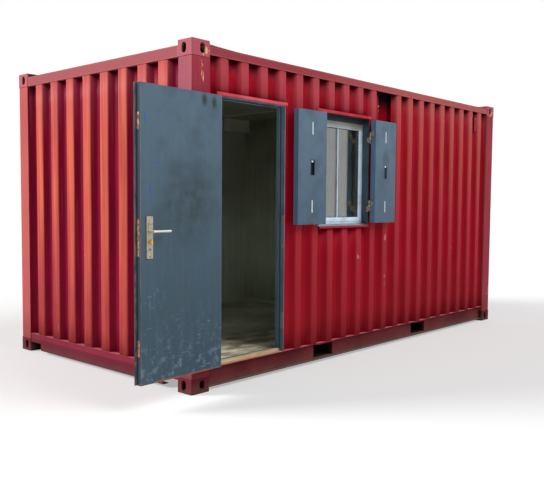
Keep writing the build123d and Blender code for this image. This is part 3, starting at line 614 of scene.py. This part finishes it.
def loft(shape, rings, closed=False):
    """Faces from each ring of points to the next, back to the first if closed, or else over both ends."""
    rings = [[shape.verts.new(point) for point in ring] for ring in rings]
    count = len(rings[0])
    for this, following in zip(rings, rings[1:] + (rings[:1] if closed else [])):
        for step in range(count):
            after = (step + 1) % count
            shape.faces.new((this[step], this[after], following[after], following[step]))
    if not closed:
        shape.faces.new(rings[0])
        shape.faces.new(rings[-1])
    bmesh.ops.recalc_face_normals(shape, faces=shape.faces)


def raised_plate(shape, outline, rise, bevel):
    """A plate raised on its outline, with a chamfer round its outer face."""
    centre = sum(outline, Vector()) / len(outline)
    shoulder = rise * max(0.0, 1.0 - bevel / rise.length)
    rings = []
    for lift, inset in ((Vector(), 0.0), (shoulder, 0.0), (rise, bevel)):
        rings.append([point + lift + (centre - point).normalized() * inset for point in outline])
    loft(shape, rings)


roof_rib_rise = 0.020
roof_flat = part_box("roof_sheet")[1].z - roof_rib_rise
plate_along, plate_deep, plate_thick = 2.09, 1.13, 0.004
corner_plates = bmesh.new()
for along_sign, deep_sign in corner_signs:
    centre = Vector((along_sign * plate_along, deep_sign * plate_deep, roof_flat))
    outline = rounded_outline(centre, 0.32, 0.14, 0.02, deep_way)
    raised_plate(corner_plates, outline, up_way * plate_thick, 0.001)
new_piece(finished("roof_corner_plates", corner_plates, roof_paint))


# Rail ends: a strip of plate laid on each end of the long top rails and bent up to the corner fitting,
# so that a hook or a spreader slides over the step. Welded on, in the paint of the frame.
rail_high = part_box("long_top_rails")[1]
rail_wide, plate_half = 0.06, 0.001
bend_long, bend_rise, bend_steps = 0.44, 0.014, 10
bent_plates = bmesh.new()
for along_sign, deep_sign in corner_signs:
    inner, outer = deep_sign * (rail_high.y - rail_wide), deep_sign * rail_high.y
    foot = rail_high.z - plate_half
    rings = []
    for step in range(bend_steps + 1):
        gone = step / bend_steps
        along = along_sign * (rail_high.x - bend_long * gone)
        crown = rail_high.z + plate_half + bend_rise * (1.0 - gone) ** 2
        corners = ((inner, foot), (outer, foot), (outer, crown), (inner, crown))
        rings.append([(along, deep, up) for deep, up in corners])
    loft(bent_plates, rings)
new_piece(finished("rail_end_plates", bent_plates, frame_paint))


# Supply niche, ventilator and drip strips: small pieces folded from sheet, welded into the wall and
# painted with it. The niche is painted dark red and near black towards its top as painted shade, and it
# holds two bolts for the plug's bracket; the ventilator's sides are painted darker than its front as
# painted shade.
niche_paint, shader, place = new_finish("dark_niche_paint", 0.03)
# Painted shade: the niche is painted dark red, near black towards its top.
colour = place.grain(0.1, 4).mix((104, 2, 16), (146, 3, 26))
colour = place.axis("Z").ease(2.26, 2.44).mix(colour, (14, 5, 7))
lay(shader, colour, 0.75 + place.grain(0.1) * 0.2, place.grain(0.01), 0.001)
dress(niche_paint, "supply_niche")
strip_paint, shader, place = new_finish("red_strip_paint")
weather = place.grain(0.08, 5, (4, 1, 1))
colour = weather.ease(0.3, 0.7).mix((182, 38, 56), (214, 96, 104))
lay(shader, colour, 0.4 + weather * 0.2, place.grain(0.01), 0.0008)
dress(strip_paint, "drip_strips")
vent_paint, shader, place = new_finish("red_vent_paint")
# Painted shade: the ventilator's faces that do not face the door side are painted darker than its front.
colour = place.facing("Y").ease(-0.5, -0.95).mix((96, 8, 26), (168, 34, 50))
colour = (place.grain(0.03, 5).ease(0.5, 0.75) * 0.4).mix(colour, (170, 70, 70))
lay(shader, colour, 0.42 + place.grain(0.05) * 0.2, place.grain(0.01), 0.0006)
dress(vent_paint, "ventilator")


def round_outline(centre, radius, corners=20):
    """Points round a disc that faces along the cabin's depth."""
    points = []
    for step in range(corners):
        turn = 2 * math.pi * step / corners
        points.append(centre + along_way * (radius * math.cos(turn)) + up_way * (radius * math.sin(turn)))
    return points


rusty_bolt = bare_metal("rusty_bolt", (214, 150, 120), (150, 84, 60), 0.4, 0.5)
bolt_along, niche_back = 2489.0, 84.0
washer_radius, washer_proud, head_radius, head_proud = 0.012, -0.002, 0.0095, -0.009
bolts = bmesh.new()
for up in (2324.0, 2366.0):
    seat = at(bolt_along, niche_back, up)
    raised_plate(bolts, round_outline(seat, washer_radius), deep_way * washer_proud, 0.0005)
    raised_plate(bolts, round_outline(seat, head_radius, 6), deep_way * head_proud, 0.0012)
new_piece(finished("niche_bolts", bolts, rusty_bolt))


# Lining: insulated panels with a grey-cream lacquered face, standing on the floor and hung overhead,
# their joints covered by pressed metal strips, with a skirting along the floor.
def moulded(name, clean, soiled_and_shaded, rough, groove_pitch=0.0):
    """A smooth moulded or lacquered face with a little handling dirt, plain or with upright grooves; a
    grooved face is painted darker towards its top as painted shade.
    """
    material, shader, place = new_finish(name, 0.4)
    soil_and_shade = place.grain(0.3, 5).ease(0.42, 0.8) * 0.6
    height = place.grain(0.006, 2) * 0.0003
    grooves = []
    if groove_pitch:
        # Painted shade: a grooved lining is painted darker towards its top.
        soil_and_shade = soil_and_shade * 0.3 + place.axis("Z").ease(0.7, 1.8) * 0.65
        on_end = place.across("X").ease(0.4, 0.6)
        along = place.axis("X") * (1.0 - on_end) + place.axis("Y") * on_end
        groove = (along + groove_pitch / 2).maths("PINGPONG", groove_pitch / 2).ease(0.004, 0.0)
        grooves.append((groove * 0.45, (*soiled_and_shaded, 0.3)))
        height = height - groove * 0.002
    lay(shader, coated(soil_and_shade.mix(clean, soiled_and_shaded), *grooves), rough + place.grain(0.1) * 0.15, height, 1.0)
    return material


lining_groove = 0.1
lining_face = moulded("lacquered_lining", (222, 228, 214), (126, 127, 98), 0.5, lining_groove)
strip_metal = moulded("lining_strip", (220, 218, 198), (190, 186, 164), 0.4)
dress(lining_face, "front_lining", "back_lining", "end_linings", "ceiling_lining")

cover_strip, size = new_tree("cover_strip", {
    **dict.fromkeys(("First", "Step", "Flange", "Rib"), "Vector"), "Count": "Int", "Finish": "Material"})
row = size["First"].add("GeometryNodeMeshLine", {"mode": "OFFSET"}, {
    "Count": size["Count"], "Start Location": size["First"], "Offset": size["Step"]})
profile = [row.add("GeometryNodeMeshCube", {}, {"Size": size[part]}) for part in ("Flange", "Rib")]
strip = row.add("GeometryNodeMeshBoolean", {"operation": "UNION"}, {"Mesh 2": profile})
end_tree(row.add("GeometryNodeInstanceOnPoints", {}, {"Points": row, "Instance": strip}), size["Finish"])

room_low = Vector((-2.3315, -1.121, floor_top))
room_high = Vector((2.3315, 1.121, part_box("ceiling_lining")[0].z))
panel_pitch, ceiling_strip = 1.2, 2.24
tall = room_high.z - room_low.z
middle_up = (room_high.z + room_low.z) / 2
sections = ((0.04, 0.004), (0.014, 0.010))
on_back = [(wide, proud, tall) for wide, proud in sections]
on_ends = [(proud, wide, tall) for wide, proud in sections]
overhead = [(wide, ceiling_strip, proud) for wide, proud in sections]
strip_rows = [
    ((-panel_pitch, room_high.y, middle_up), (panel_pitch, 0, 0), 3, on_back),
    ((room_low.x, -panel_pitch / 2, middle_up), (0, panel_pitch, 0), 2, on_ends),
    ((room_high.x, -panel_pitch / 2, middle_up), (0, panel_pitch, 0), 2, on_ends),
    ((-panel_pitch, 0, room_high.z), (panel_pitch, 0, 0), 3, overhead)]
strips = []
for first, step, count, (flange, rib) in strip_rows:
    strips.append(from_tree("lining_strips", cover_strip, {
        "First": first, "Step": step, "Count": count, "Flange": flange, "Rib": rib, "Finish": strip_metal}))
new_piece(joined("lining_strips", strips, strip_metal))


def soft_block(shape, low, high, ease):
    """A bar or block between two corners with its edges rounded."""
    middle = (low + high) / 2
    made = bmesh.ops.create_cube(shape, size=1.0, matrix=Matrix.LocRotScale(middle, None, high - low))
    edges = {edge for vert in made["verts"] for edge in vert.link_edges}
    bmesh.ops.bevel(shape, geom=list(edges), offset=ease, segments=2, affect="EDGES", profile=0.5)


skirting_tall, skirting_thick = 0.03, 0.012


def skirting_run(shape, start, end, near, far):
    """A length of skirting on the floor, between two places along the cabin and two across it."""
    top = room_low.z + skirting_tall
    soft_block(shape, Vector((start, near, room_low.z)), Vector((end, far, top)), 0.003)


left, right, near, far = room_low.x, room_high.x, room_low.y, room_high.y
skirting = bmesh.new()
skirting_run(skirting, left, right, far - skirting_thick, far)
for start, end in ((left, left + skirting_thick), (right - skirting_thick, right)):
    skirting_run(skirting, start, end, near + skirting_thick, far - skirting_thick)
skirting_run(skirting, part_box("door_jambs")[1].x, right, near, near + skirting_thick)
new_piece(finished("skirting", skirting, strip_metal))


# Cross wall: grooved panels that close the room at its right, as the doorway shows, with a trim along
# their foot. The frame has no node for it, so it is made here and rides on the cabin.
cross_wall_x = at(2960.0, 0, 0).x
cross_wall_thick, groove_step = 0.05, 0.002
cross_wall_sizes = {
    "Start": near, "End": far, "Low": room_low.z, "High": room_high.z, "Face": cross_wall_x,
    "Crest Middle": 0.0, "Pitch": lining_groove, "Crest": 0.092, "Slope": 0.003, "Depth": 0.003,
    "Bend Softness": 0.1, "Dent": 0.0, "Columns": round((far - near) / groove_step) + 1, "Rows": 3,
    "Paint": lining_face}
cross_wall = from_tree("cross_wall", folded_sheet, cross_wall_sizes, thickness=cross_wall_thick)
cross_wall.transform(Matrix.Rotation(-math.pi / 2, 4, "Z"))
new_piece(joined("cross_wall", [cross_wall], lining_face))
trim_face = cross_wall_x - skirting_thick
foot_trim = bmesh.new()
skirting_run(foot_trim, trim_face, cross_wall_x, near + skirting_thick, far - skirting_thick)
new_piece(finished("cross_wall_trim", foot_trim, strip_metal))


# Fuse box: a moulded plastic case screwed to the back wall under the ceiling, with a lid whose rim
# stands a little proud and four screws in its corners.
def mitred_frame(shape, along, up, face, section):
    """A frame round a rectangle: its section as (inset from the rectangle, depth from the face), mitred."""
    rings = []
    for inset, deep in section:
        left, right, low, high = along[0] + inset, along[1] - inset, up[0] + inset, up[1] - inset
        corners = ((left, low), (right, low), (right, high), (left, high))
        rings.append([at(place, face + deep, height) for place, height in corners])
    loft(shape, rings, closed=True)


def drawn(node):
    """The spans of a node along, deep and up, in the millimetres of the drawing."""
    low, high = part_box(node)
    shifts = enumerate((half_long, half_wide, 0.0))
    return [(low[axis] * 1000 + shift, high[axis] * 1000 + shift) for axis, shift in shifts]


box_plastic = moulded("fuse_box_plastic", (206, 204, 190), (176, 170, 152), 0.4)
dress(box_plastic, "fuse_box")
box_along, box_deep, box_up = drawn("fuse_box")
lid_face, lid_rise, screw_inset = box_deep[0], 4, 18
lid = bmesh.new()
mitred_frame(lid, box_along, box_up, lid_face, [(10, 1), (10, -3), (12, -lid_rise), (24, -lid_rise), (28, 1)])
new_piece(finished("fuse_box_lid", lid, box_plastic))
screw_ups = (box_up[0] + screw_inset, box_up[1] - screw_inset)
lid_corners = []
for along in (box_along[0] + screw_inset, box_along[1] - screw_inset):
    lid_corners += [at(along, lid_face - lid_rise, up) for up in screw_ups]
new_piece(screws("fuse_box_screws", 0.0035, 0.0012, (lid_corners, (0, -1, 0))))


# Door frame and window reveal: steel plate folded round the cuts in the wall and painted blue-grey,
# with a black rubber seal pressed on to the door stops.
def blue_paint(name, upper, lower, low_at, high_at, marks):
    """Blue-grey paint, paler above as painted light from the sky and clouded by hands, under the marks that
    are a piece's own.
    """
    material, shader, place = new_finish(name)
    drift = place.grain(0.5, 4)
    brush = place.grain(0.03, 4, (1, 1, 12))
    bite = place.grain(0.03, 6) + edge_band(place, 0.01) * 0.14
    colour = coated(
        # Painted light: the paint is paler towards the top and darker towards the bottom.
        (place.axis("Z") + drift * 0.4 - 0.2).ease(low_at, high_at).mix(lower, upper),
        (brush.ease(0.45, 0.8) * 0.16, (108, 124, 136)),
        (place.grain(0.18, 7).ease(0.42, 0.72) * 0.5, (66, 82, 88)),
        (bite.ease(0.74, 0.82), (126, 106, 84)),
        *marks(place))
    lay(shader, colour, 0.4 + drift * 0.2, place.grain(0.004, 2) * 0.2 + place.grain(0.3, 2), 0.001)
    return material


def jamb_marks(place):
    """Knocks low on the door frame, and painted shade in the window reveal, near black under its head."""
    up = place.axis("Z")
    knocks = place.grain(0.04, 5, (1, 1, 2)).ease(0.62, 0.7) * up.ease(0.9, 0.2)
    # Painted shade: the window reveal is painted darker, and near black at its head.
    reveal = place.axis("X").ease(-1.1, -1.0)
    return ((knocks, (140, 92, 78)), (reveal * 0.6, (44, 56, 64)),
            (reveal * up.ease(2.12, 2.2) * 0.8, (24, 28, 28)))


jamb_paint = blue_paint("blue_grey_frame", (110, 136, 155), (91, 115, 133), 0.175, 2.2, jamb_marks)
dress(jamb_paint, "door_jambs", "door_frame_head", "window_reveal_sides", "window_reveal_head")

rubber = moulded("black_rubber", (30, 31, 32), (50, 50, 48), 0.6)
frame_along, frame_up = drawn("door_jambs")[::2]
jamb_plate = 5.0
clear_from, clear_to = frame_along[0] + jamb_plate, frame_along[1] - jamb_plate
head_low = frame_up[1] - jamb_plate
floor_up = drawn("floor_deck")[2][1]
stop_face, seal_proud, stop_wide = 47.0, 4.6, 15.0
seal_face, seal_top = stop_face - seal_proud, head_low - 3
seal = bmesh.new()
for start in (clear_from, clear_to - stop_wide):
    soft_block(seal, at(start + 3, seal_face, floor_up + 6), at(start + 12, stop_face, seal_top), 0.0018)
soft_block(seal, at(clear_from + 13, seal_face, seal_top - 9), at(clear_to - 13, stop_face, seal_top), 0.0018)
new_piece(finished("door_seal", seal, rubber))


# Threshold: a steel plate folded over the bottom rail and up on to the floor. Its paint is trodden
# through to bare metal, with a rusty orange line along the front step.
tread, shader, place = new_finish("worn_threshold")
deep = place.axis("Y")
trodden = place.grain(0.06, 5, (3, 1, 1))
step_line = deep.ease(-1.2, -1.196) * deep.ease(-1.172, -1.176) * trodden.ease(0.3, 0.45)
back_line = deep.ease(-1.142, -1.136) * trodden.ease(0.62, 0.5)
lip = deep.ease(-1.203, -1.209) * (0.5 + trodden * 0.6)
colour = coated(
    trodden.ease(0.35, 0.65).mix((158, 154, 142), (204, 198, 180)),
    (step_line, (222, 160, 78)),
    (back_line, (44, 46, 44)),
    (lip, (176, 96, 92)))
lay(shader, colour, 0.55, trodden, 0.001)
dress(tread, "door_threshold")


# Window: a white plastic frame with a raised sash, a sealed glass unit held by black gaskets and one
# upright bar, set back in the steel reveal over a folded sill with a red front lip.
sill_finish, shader, place = new_finish("painted_sill")
lip = place.axis("Y").ease(-1.2258, -1.2266)
colour = place.grain(0.1, 5).ease(0.4, 0.75).mix((150, 160, 168), (112, 118, 122))
lay(shader, lip.mix(colour, (150, 34, 46)), 0.5, place.grain(0.01), 0.0005)
dress(sill_finish, "window_sill")

sash_white, shader, place = new_finish("white_window_plastic", 0.4)
# The top member of the frame is painted darker: partly dirt, partly painted shade under the reveal's head.
soil_and_shade = place.grain(0.12, 5).ease(0.45, 0.8) * 0.5 + place.axis("Z").ease(2.08, 2.13) * 0.9
colour = soil_and_shade.mix((212, 232, 250), (142, 144, 132))
lay(shader, colour, 0.3 + place.grain(0.1) * 0.15, place.grain(0.006, 2), 0.0003)
dress(sash_white, "window_frame")

pane, shader, place = new_finish("window_pane", 0.5)
plug(shader, {"Base Color": (0.8, 0.88, 0.85, 1.0), "Transmission Weight": 1.0, "IOR": 2.1,
              "Roughness": 0.01 + place.grain(0.2, 4) * 0.04})
dress(pane, "window_glass")

win_along, win_deep, win_up = drawn("window_frame")
glass_deep = drawn("window_glass")[1]
face_wide = 58.0
sash = bmesh.new()
mitred_frame(sash, win_along, win_up, win_deep[0], [(18, 1), (18, -4), (20, -6), (46, -6), (57, 1)])
bar_from, bar_to = 1840.5, 1851.5
bar_low, bar_high = win_up[0] + face_wide, win_up[1] - face_wide
for bar_near, bar_far in ((glass_deep[0] - 9, glass_deep[0]), (glass_deep[1], glass_deep[1] + 7)):
    soft_block(sash, at(bar_from, bar_near, bar_low), at(bar_to, bar_far, bar_high), 0.002)
new_piece(finished("window_sash", sash, sash_white))
gasket = bmesh.new()
for face, proud in zip(glass_deep, (-4, 4)):
    mitred_frame(gasket, win_along, win_up, face, [(57, proud), (60, proud), (63, 0), (57, 0)])
new_piece(finished("window_gaskets", gasket, rubber))


# Door leaf: two steel skins over insulation, in blue-grey paint. Rain has run from its top, hands
# have clouded its middle, and boots have scratched it white and bared its bottom edge to rust. Its edge
# face is painted dark as painted shade.
def leaf_marks(place):
    """Smudges, drips, scratches, pen strokes, worn edges, painted shade on the edge face, and rust, where
    they lie on the open leaf.
    """
    up = place.axis("Z")
    inner_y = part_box("door_leaf")[0].y
    smudge = place.spot((-2.5, inner_y, 1.42), (0.42, 0.05, 0.5))
    smudge = smudge * (place.grain(0.1, 7).ease(0.3, 0.7) * 0.7 + 0.3)
    drips = place.spot((-2.385, inner_y, 2.15), (0.045, 0.06, 0.07))
    drips = drips + place.spot((-2.285, inner_y, 2.14), (0.04, 0.06, 0.07))
    hair = place.grain(0.006, 3, (16, 1, 1)).ease(0.65, 0.72)
    hair = hair + place.grain(0.006, 3, (1, 1, 16)).ease(0.66, 0.73)
    kicked = up.ease(0.85, 0.35) * 0.7 + place.spot((-2.83, inner_y, 0.78), (0.12, 0.1, 0.16))
    kicked = kicked * place.grain(0.1, 4).ease(0.35, 0.6)
    pen = place.spot((-2.93, inner_y, 1.97), (0.008, 0.1, 0.055))
    pen = pen + place.spot((-2.89, inner_y, 1.49), (0.008, 0.1, 0.06))
    pen = pen + place.spot((-2.82, inner_y, 1.68), (0.012, 0.1, 0.014))
    worn_edge = place.axis("X").ease(-2.966, -2.973) * place.grain(0.03, 5, (1, 1, 3)).ease(0.35, 0.6)
    return (
        (smudge * 0.85, (50, 60, 62)),
        (drips * (0.6 + place.grain(0.02, 4) * 0.7), (36, 42, 36)),
        (hair * kicked, (156, 172, 186)),
        (up.ease(0.6, 0.25) * place.grain(0.05, 5).ease(0.5, 0.72) * 0.45, (120, 138, 156)),
        (place.grain(0.02, 4).ease(0.74, 0.78) * 0.6, (150, 164, 172)),
        (pen * 0.85, (36, 88, 182)),
        (worn_edge * place.facing("Y").ease(-0.4, -0.8) * 0.7, (150, 126, 108)),
        # Painted shade: the leaf's faces turned to the left end are painted dark.
        (place.facing("X").ease(-0.5, -0.9) * 0.85, (44, 58, 66)),
        (up.ease(0.203, 0.19) * place.grain(0.06, 6, (2, 1, 1)).ease(0.4, 0.6), (150, 88, 48)))


dress(blue_paint("blue_grey_leaf", (88, 108, 124), (58, 77, 90), 0.2, 2.5, leaf_marks), "door_leaf")


# Hinges: zinc-plated butts with a fixed pin, their flaps screwed to the jambs and to the leaf edges,
# gone rusty where the plating has worn.
hinges = {one["name"]: one for one in frame["joints"]}


def pin_along(body):
    """Where the hinge pin of a leaf stands along the cabin, in millimetres."""
    return hinges[body + "_hinge"]["pos_m"][0] * 1000 + half_long


def hang(mesh, body):
    """Turn a mesh made on a shut leaf about the hinge pin to where the leaf stands, as a piece of it."""
    hinge = hinges[body + "_hinge"]
    pin = Vector(hinge["pos_m"])
    angle = math.radians(-hinge["axis"][2] * hinge["range_deg"][0])
    mesh.transform(Matrix.Translation(pin) @ Matrix.Rotation(angle, 4, "Z") @ Matrix.Translation(-pin))
    new_piece(mesh, body)


hinge_zinc = bare_metal("rusty_hinge_zinc", (190, 172, 142), (112, 72, 46), 0.42, 0.45)
dress(hinge_zinc, "hinge_pins", "door_hinge_knuckles", "left_shutter_knuckles", "right_shutter_knuckles")
knuckle_tall, flap_face = 55.0, 1.5
shutter_hinges = (1341.0, 1985.0)
fixed_rows = []
for body, side, hinge_lows in (("door", 1, (357.0, 1138.5, 1920.0)), ("left_shutter", 1, shutter_hinges),
                               ("right_shutter", -1, shutter_hinges)):
    fixed, moving = [], []
    for low in hinge_lows:
        for deep in (3.0, 17.0):
            for up in (14.0, 41.0):
                fixed.append(at(pin_along(body) - side * flap_face, deep, low + up))
                moving.append(at(pin_along(body) + side * flap_face, deep, low + up + knuckle_tall))
    fixed_rows.append((fixed, (side, 0, 0)))
    hang(screws(body + "_hinge_screws", 0.0042, 0.0009, (moving, (-side, 0, 0))), body)
new_piece(screws("jamb_hinge_screws", 0.0042, 0.0009, *fixed_rows))


# Lock: a case let into the door's edge behind tarnished forends, satin plates and levers on both
# faces, a brass cylinder with a thumb turn, and strike plates on the jamb.
lock_zinc = bare_metal("tarnished_forend", (172, 132, 98), (112, 76, 50), 0.42, 0.45)
satin_plate = bare_metal("satin_plate", (168, 162, 144), (126, 118, 100), 0.5, 0.4)
dress(lock_zinc, "lock_forends")
dress(satin_plate, "lock_plates")
dress(bare_metal("satin_lever", (214, 214, 210), (160, 158, 150), 0.6, 0.3), "door_levers")
dress(bare_metal("brass_cylinder", (226, 180, 66), (150, 112, 44), 0.6, 0.25), "lock_cylinder")
strike_finish, shader, place = new_finish("painted_strike", 0.5)
bared = place.grain(0.035, 4, (1, 1, 1.6)).ease(0.57, 0.65)
colour = bared.mix((112, 132, 148), (186, 148, 100))
lay(shader, colour, 0.35 + place.grain(0.02) * 0.2, place.grain(0.01), 0.0004, bared * 0.6)
dress(strike_finish, "strike_plates")

lever_along, lever_up, key_drop, plate_middle_up = 935.0, 1222.0, 122.0, 1181.0
rose_radius, rose_rise, key_radius, key_rise = 0.016, 0.006, 0.009, 0.004
roses = bmesh.new()
key_rose = bmesh.new()
plate_rows = []
for face, way in ((-12.0, -1.0), (49.0, 1.0)):
    seat = at(lever_along, face, lever_up)
    raised_plate(roses, round_outline(seat, rose_radius, 28), deep_way * (rose_rise * way), 0.002)
    key_seat = at(lever_along, face, lever_up - key_drop)
    raised_plate(key_rose, round_outline(key_seat, key_radius), deep_way * (key_rise * way), 0.0012)
    ends = [at(lever_along, face, plate_middle_up + half) for half in (-128.0, 128.0)]
    plate_rows.append((ends, (0, way, 0)))
leaf_edge, bolt_deep, strike_face, strike_longer = 1010.0, 18.5, clear_to - 2.0, 10.0
forend_ends, strike_ends = [], []
for middle, half in ((plate_middle_up, 112.0), (1950.0, 46.0), (437.0, 46.0)):
    forend_ends += [at(leaf_edge, bolt_deep, middle + reach) for reach in (-half, half)]
    strike_half = half + strike_longer
    strike_ends += [at(strike_face, bolt_deep, middle + reach) for reach in (-strike_half, strike_half)]
hang(finished("lever_roses", roses, satin_plate), "door")
hang(finished("key_roses", key_rose, lock_zinc), "door")
hang(screws("lock_plate_screws", 0.0042, 0.0016, *plate_rows), "door")
hang(screws("forend_screws", 0.0038, 0.0009, (forend_ends, (1, 0, 0))), "door")
new_piece(screws("strike_screws", 0.0036, 0.0009, (strike_ends, (-1, 0, 0))))


# Shutters: steel leaves like the door. Bright flat bolts slide in two slots of each inner face, and
# a moulded cup with a metal pull is let into the middle. The right cup is a paler copy of the left,
# as painted light, and the shutters' edge faces are painted paler as painted light.
def shutter_marks(place):
    """Grease round the cups, painted light on the edge faces, and rust along the foot."""
    grease = place.spot((-0.03, -1.3, 1.83), (0.08, 0.08, 0.12))
    grease = grease + place.spot((-1.1, -1.28, 1.72), (0.07, 0.08, 0.12)) * 0.5
    rust = place.axis("Z").ease(1.26, 1.236) * place.grain(0.05, 6).ease(0.5, 0.66) * 0.7
    return (
        (grease * (0.3 + place.grain(0.04, 4) * 0.7), (74, 88, 92)),
        # Painted light: the shutters' edge faces are painted paler.
        (place.across("X").ease(0.5, 0.9) * 0.6, (104, 146, 180)),
        (rust, rust_brown))


shutter_paint = blue_paint("blue_grey_shutter", (96, 117, 136), (80, 101, 119), 1.2, 2.2, shutter_marks)
dress(shutter_paint, "left_shutter_leaf", "right_shutter_leaf")

bolt_zinc = bare_metal("bright_bolt", (226, 228, 226), (176, 172, 160), 0.6, 0.3)
cup_black = moulded("black_cup", (28, 32, 36), (52, 58, 62), 0.45)
cup_lit_copy = moulded("cup_painted_light", (74, 96, 112), (56, 72, 84), 0.45)
shutter_low, shutter_high = drawn("left_shutter_leaf")[2]
inner_face, pin_to_middle, slot_inset = 48.0, 183.5, 152.5
cup_middle = (shutter_low + shutter_high) / 2
cup_half_wide, cup_half_tall = 27.0, 66.5
cup_section = [(0, -0.5), (0, 1.2), (1, 2), (4.6, 2), (6, 0.5), (7.5, -19), (4.2, -21.5), (4.2, -0.5)]
bolt_wide, bolt_long, knob_radius, pull_wide, pull_tall = 0.011, 0.109, 0.0046, 0.02, 0.018
# Painted light: the right shutter's cup takes a paler copy of the black cup's plastic.
for body, side, cup_finish in (("left_shutter", 1, cup_black), ("right_shutter", -1, cup_lit_copy)):
    middle = pin_along(body) + side * pin_to_middle
    bars = bmesh.new()
    for slot_middle in (shutter_low + slot_inset, shutter_high - slot_inset):
        seat = at(middle, inner_face - 7.0, slot_middle)
        raised_plate(bars, rounded_outline(seat, bolt_wide, bolt_long, 0.005), deep_way * 0.006, 0.001)
        knob = at(middle, inner_face - 1.0, slot_middle - 38.0)
        raised_plate(bars, round_outline(knob, knob_radius, 14), deep_way * 0.006, 0.0012)
    pull = at(middle, inner_face - 12.0, cup_middle + 52.0)
    raised_plate(bars, rounded_outline(pull, pull_wide, pull_tall, 0.004), deep_way * 0.011, 0.002)
    hang(finished(body + "_bolts", bars, bolt_zinc), body)
    cup = bmesh.new()
    mitred_frame(cup, (middle - cup_half_wide, middle + cup_half_wide),
                 (cup_middle - cup_half_tall, cup_middle + cup_half_tall), inner_face, cup_section)
    back = at(middle, inner_face - 21.8, cup_middle)
    raised_plate(cup, rounded_outline(back, 0.0455, 0.1245, 0.002), deep_way * 0.002, 0.0005)
    hang(finished(body + "_cup", cup, cup_finish), body)


# Stage: a pale floor that runs into a white backdrop, a soft light along the left end from behind,
# and a broad soft light on the door side.
floor_half = 30.0
floor_mesh = bpy.data.meshes.new("stage_floor")
floor_mesh.from_pydata(
    [(-floor_half, -floor_half, 0), (floor_half, -floor_half, 0), (floor_half, floor_half, 0),
     (-floor_half, floor_half, 0)], [], [(0, 1, 2, 3)])
stage_floor = placed("stage_floor", floor_mesh)
floor_white, shader, place = new_finish("stage_floor_white")
plug(shader, {"Base Color": (0.86, 0.86, 0.86, 1.0), "Roughness": 0.9})
away = place.vector("LENGTH", out="Value").ease(3.4, 7.0)
seen = place.add("ShaderNodeLightPath", {}, {}, "Is Camera Ray")
glow = place.add("ShaderNodeEmission", {}, {"Color": (1.0, 1.0, 1.0, 1.0), "Strength": 1.0})
plain = Wire(floor_white.node_tree, shader.outputs[0])
blend = place.add("ShaderNodeMixShader", {}, {0: (0.4 + away * 0.6) * seen, 1: plain, 2: glow})
plug(floor_white.node_tree.nodes["Material Output"], {"Surface": blend})
floor_mesh.materials.append(floor_white)

world = bpy.data.worlds.new("studio")
bpy.context.scene.world = world
world.use_nodes = True
sky = world.node_tree.nodes["Background"]
rays = world.node_tree.nodes.new("ShaderNodeLightPath")
seen = Wire(world.node_tree, rays.outputs["Is Camera Ray"])
for ray in ("Is Glossy Ray", "Is Transmission Ray"):
    seen = seen.maths("MAXIMUM", Wire(world.node_tree, rays.outputs[ray]))
soft_level = 0.27
plug(sky, {"Color": (1.0, 1.0, 1.0, 1.0), "Strength": seen * (1.0 - soft_level) + soft_level})


def studio_sun(name, towards, strength, softness):
    lamp = bpy.data.lights.new(name, "SUN")
    lamp.energy = strength
    lamp.angle = math.radians(softness)
    holder = placed(name, lamp)
    holder.rotation_mode = "QUATERNION"
    holder.rotation_quaternion = Vector(towards).to_track_quat("-Z", "Y")


studio_sun("end_light", (0.64, -0.60, -0.48), 3.4, 22.0)
studio_sun("door_side_light", (-0.26, 0.66, -0.70), 1.9, 38.0)


# Camera: at the photograph's place, from the fit of the six visible corner fittings, level but for a
# slight tilt down and a slight roll.
camera_data = bpy.data.cameras.new("photo_camera")
camera_data.sensor_width = 36.0
camera_data.lens = 47.384
camera_data.clip_end = 200.0
camera = placed("photo_camera", camera_data)
heading, pitch, roll = (math.radians(angle) for angle in (42.02, -3.627, 0.464))
camera.matrix_world = (
    Matrix.Translation((-5.89348, -5.11301, 1.42314))
    @ Matrix.Rotation(heading - math.pi / 2, 4, "Z")
    @ Matrix.Rotation(math.pi / 2 + pitch, 4, "X")
    @ Matrix.Rotation(roll, 4, "Z")
)
bpy.context.scene.camera = camera
bpy.context.scene.view_settings.view_transform = "Standard"
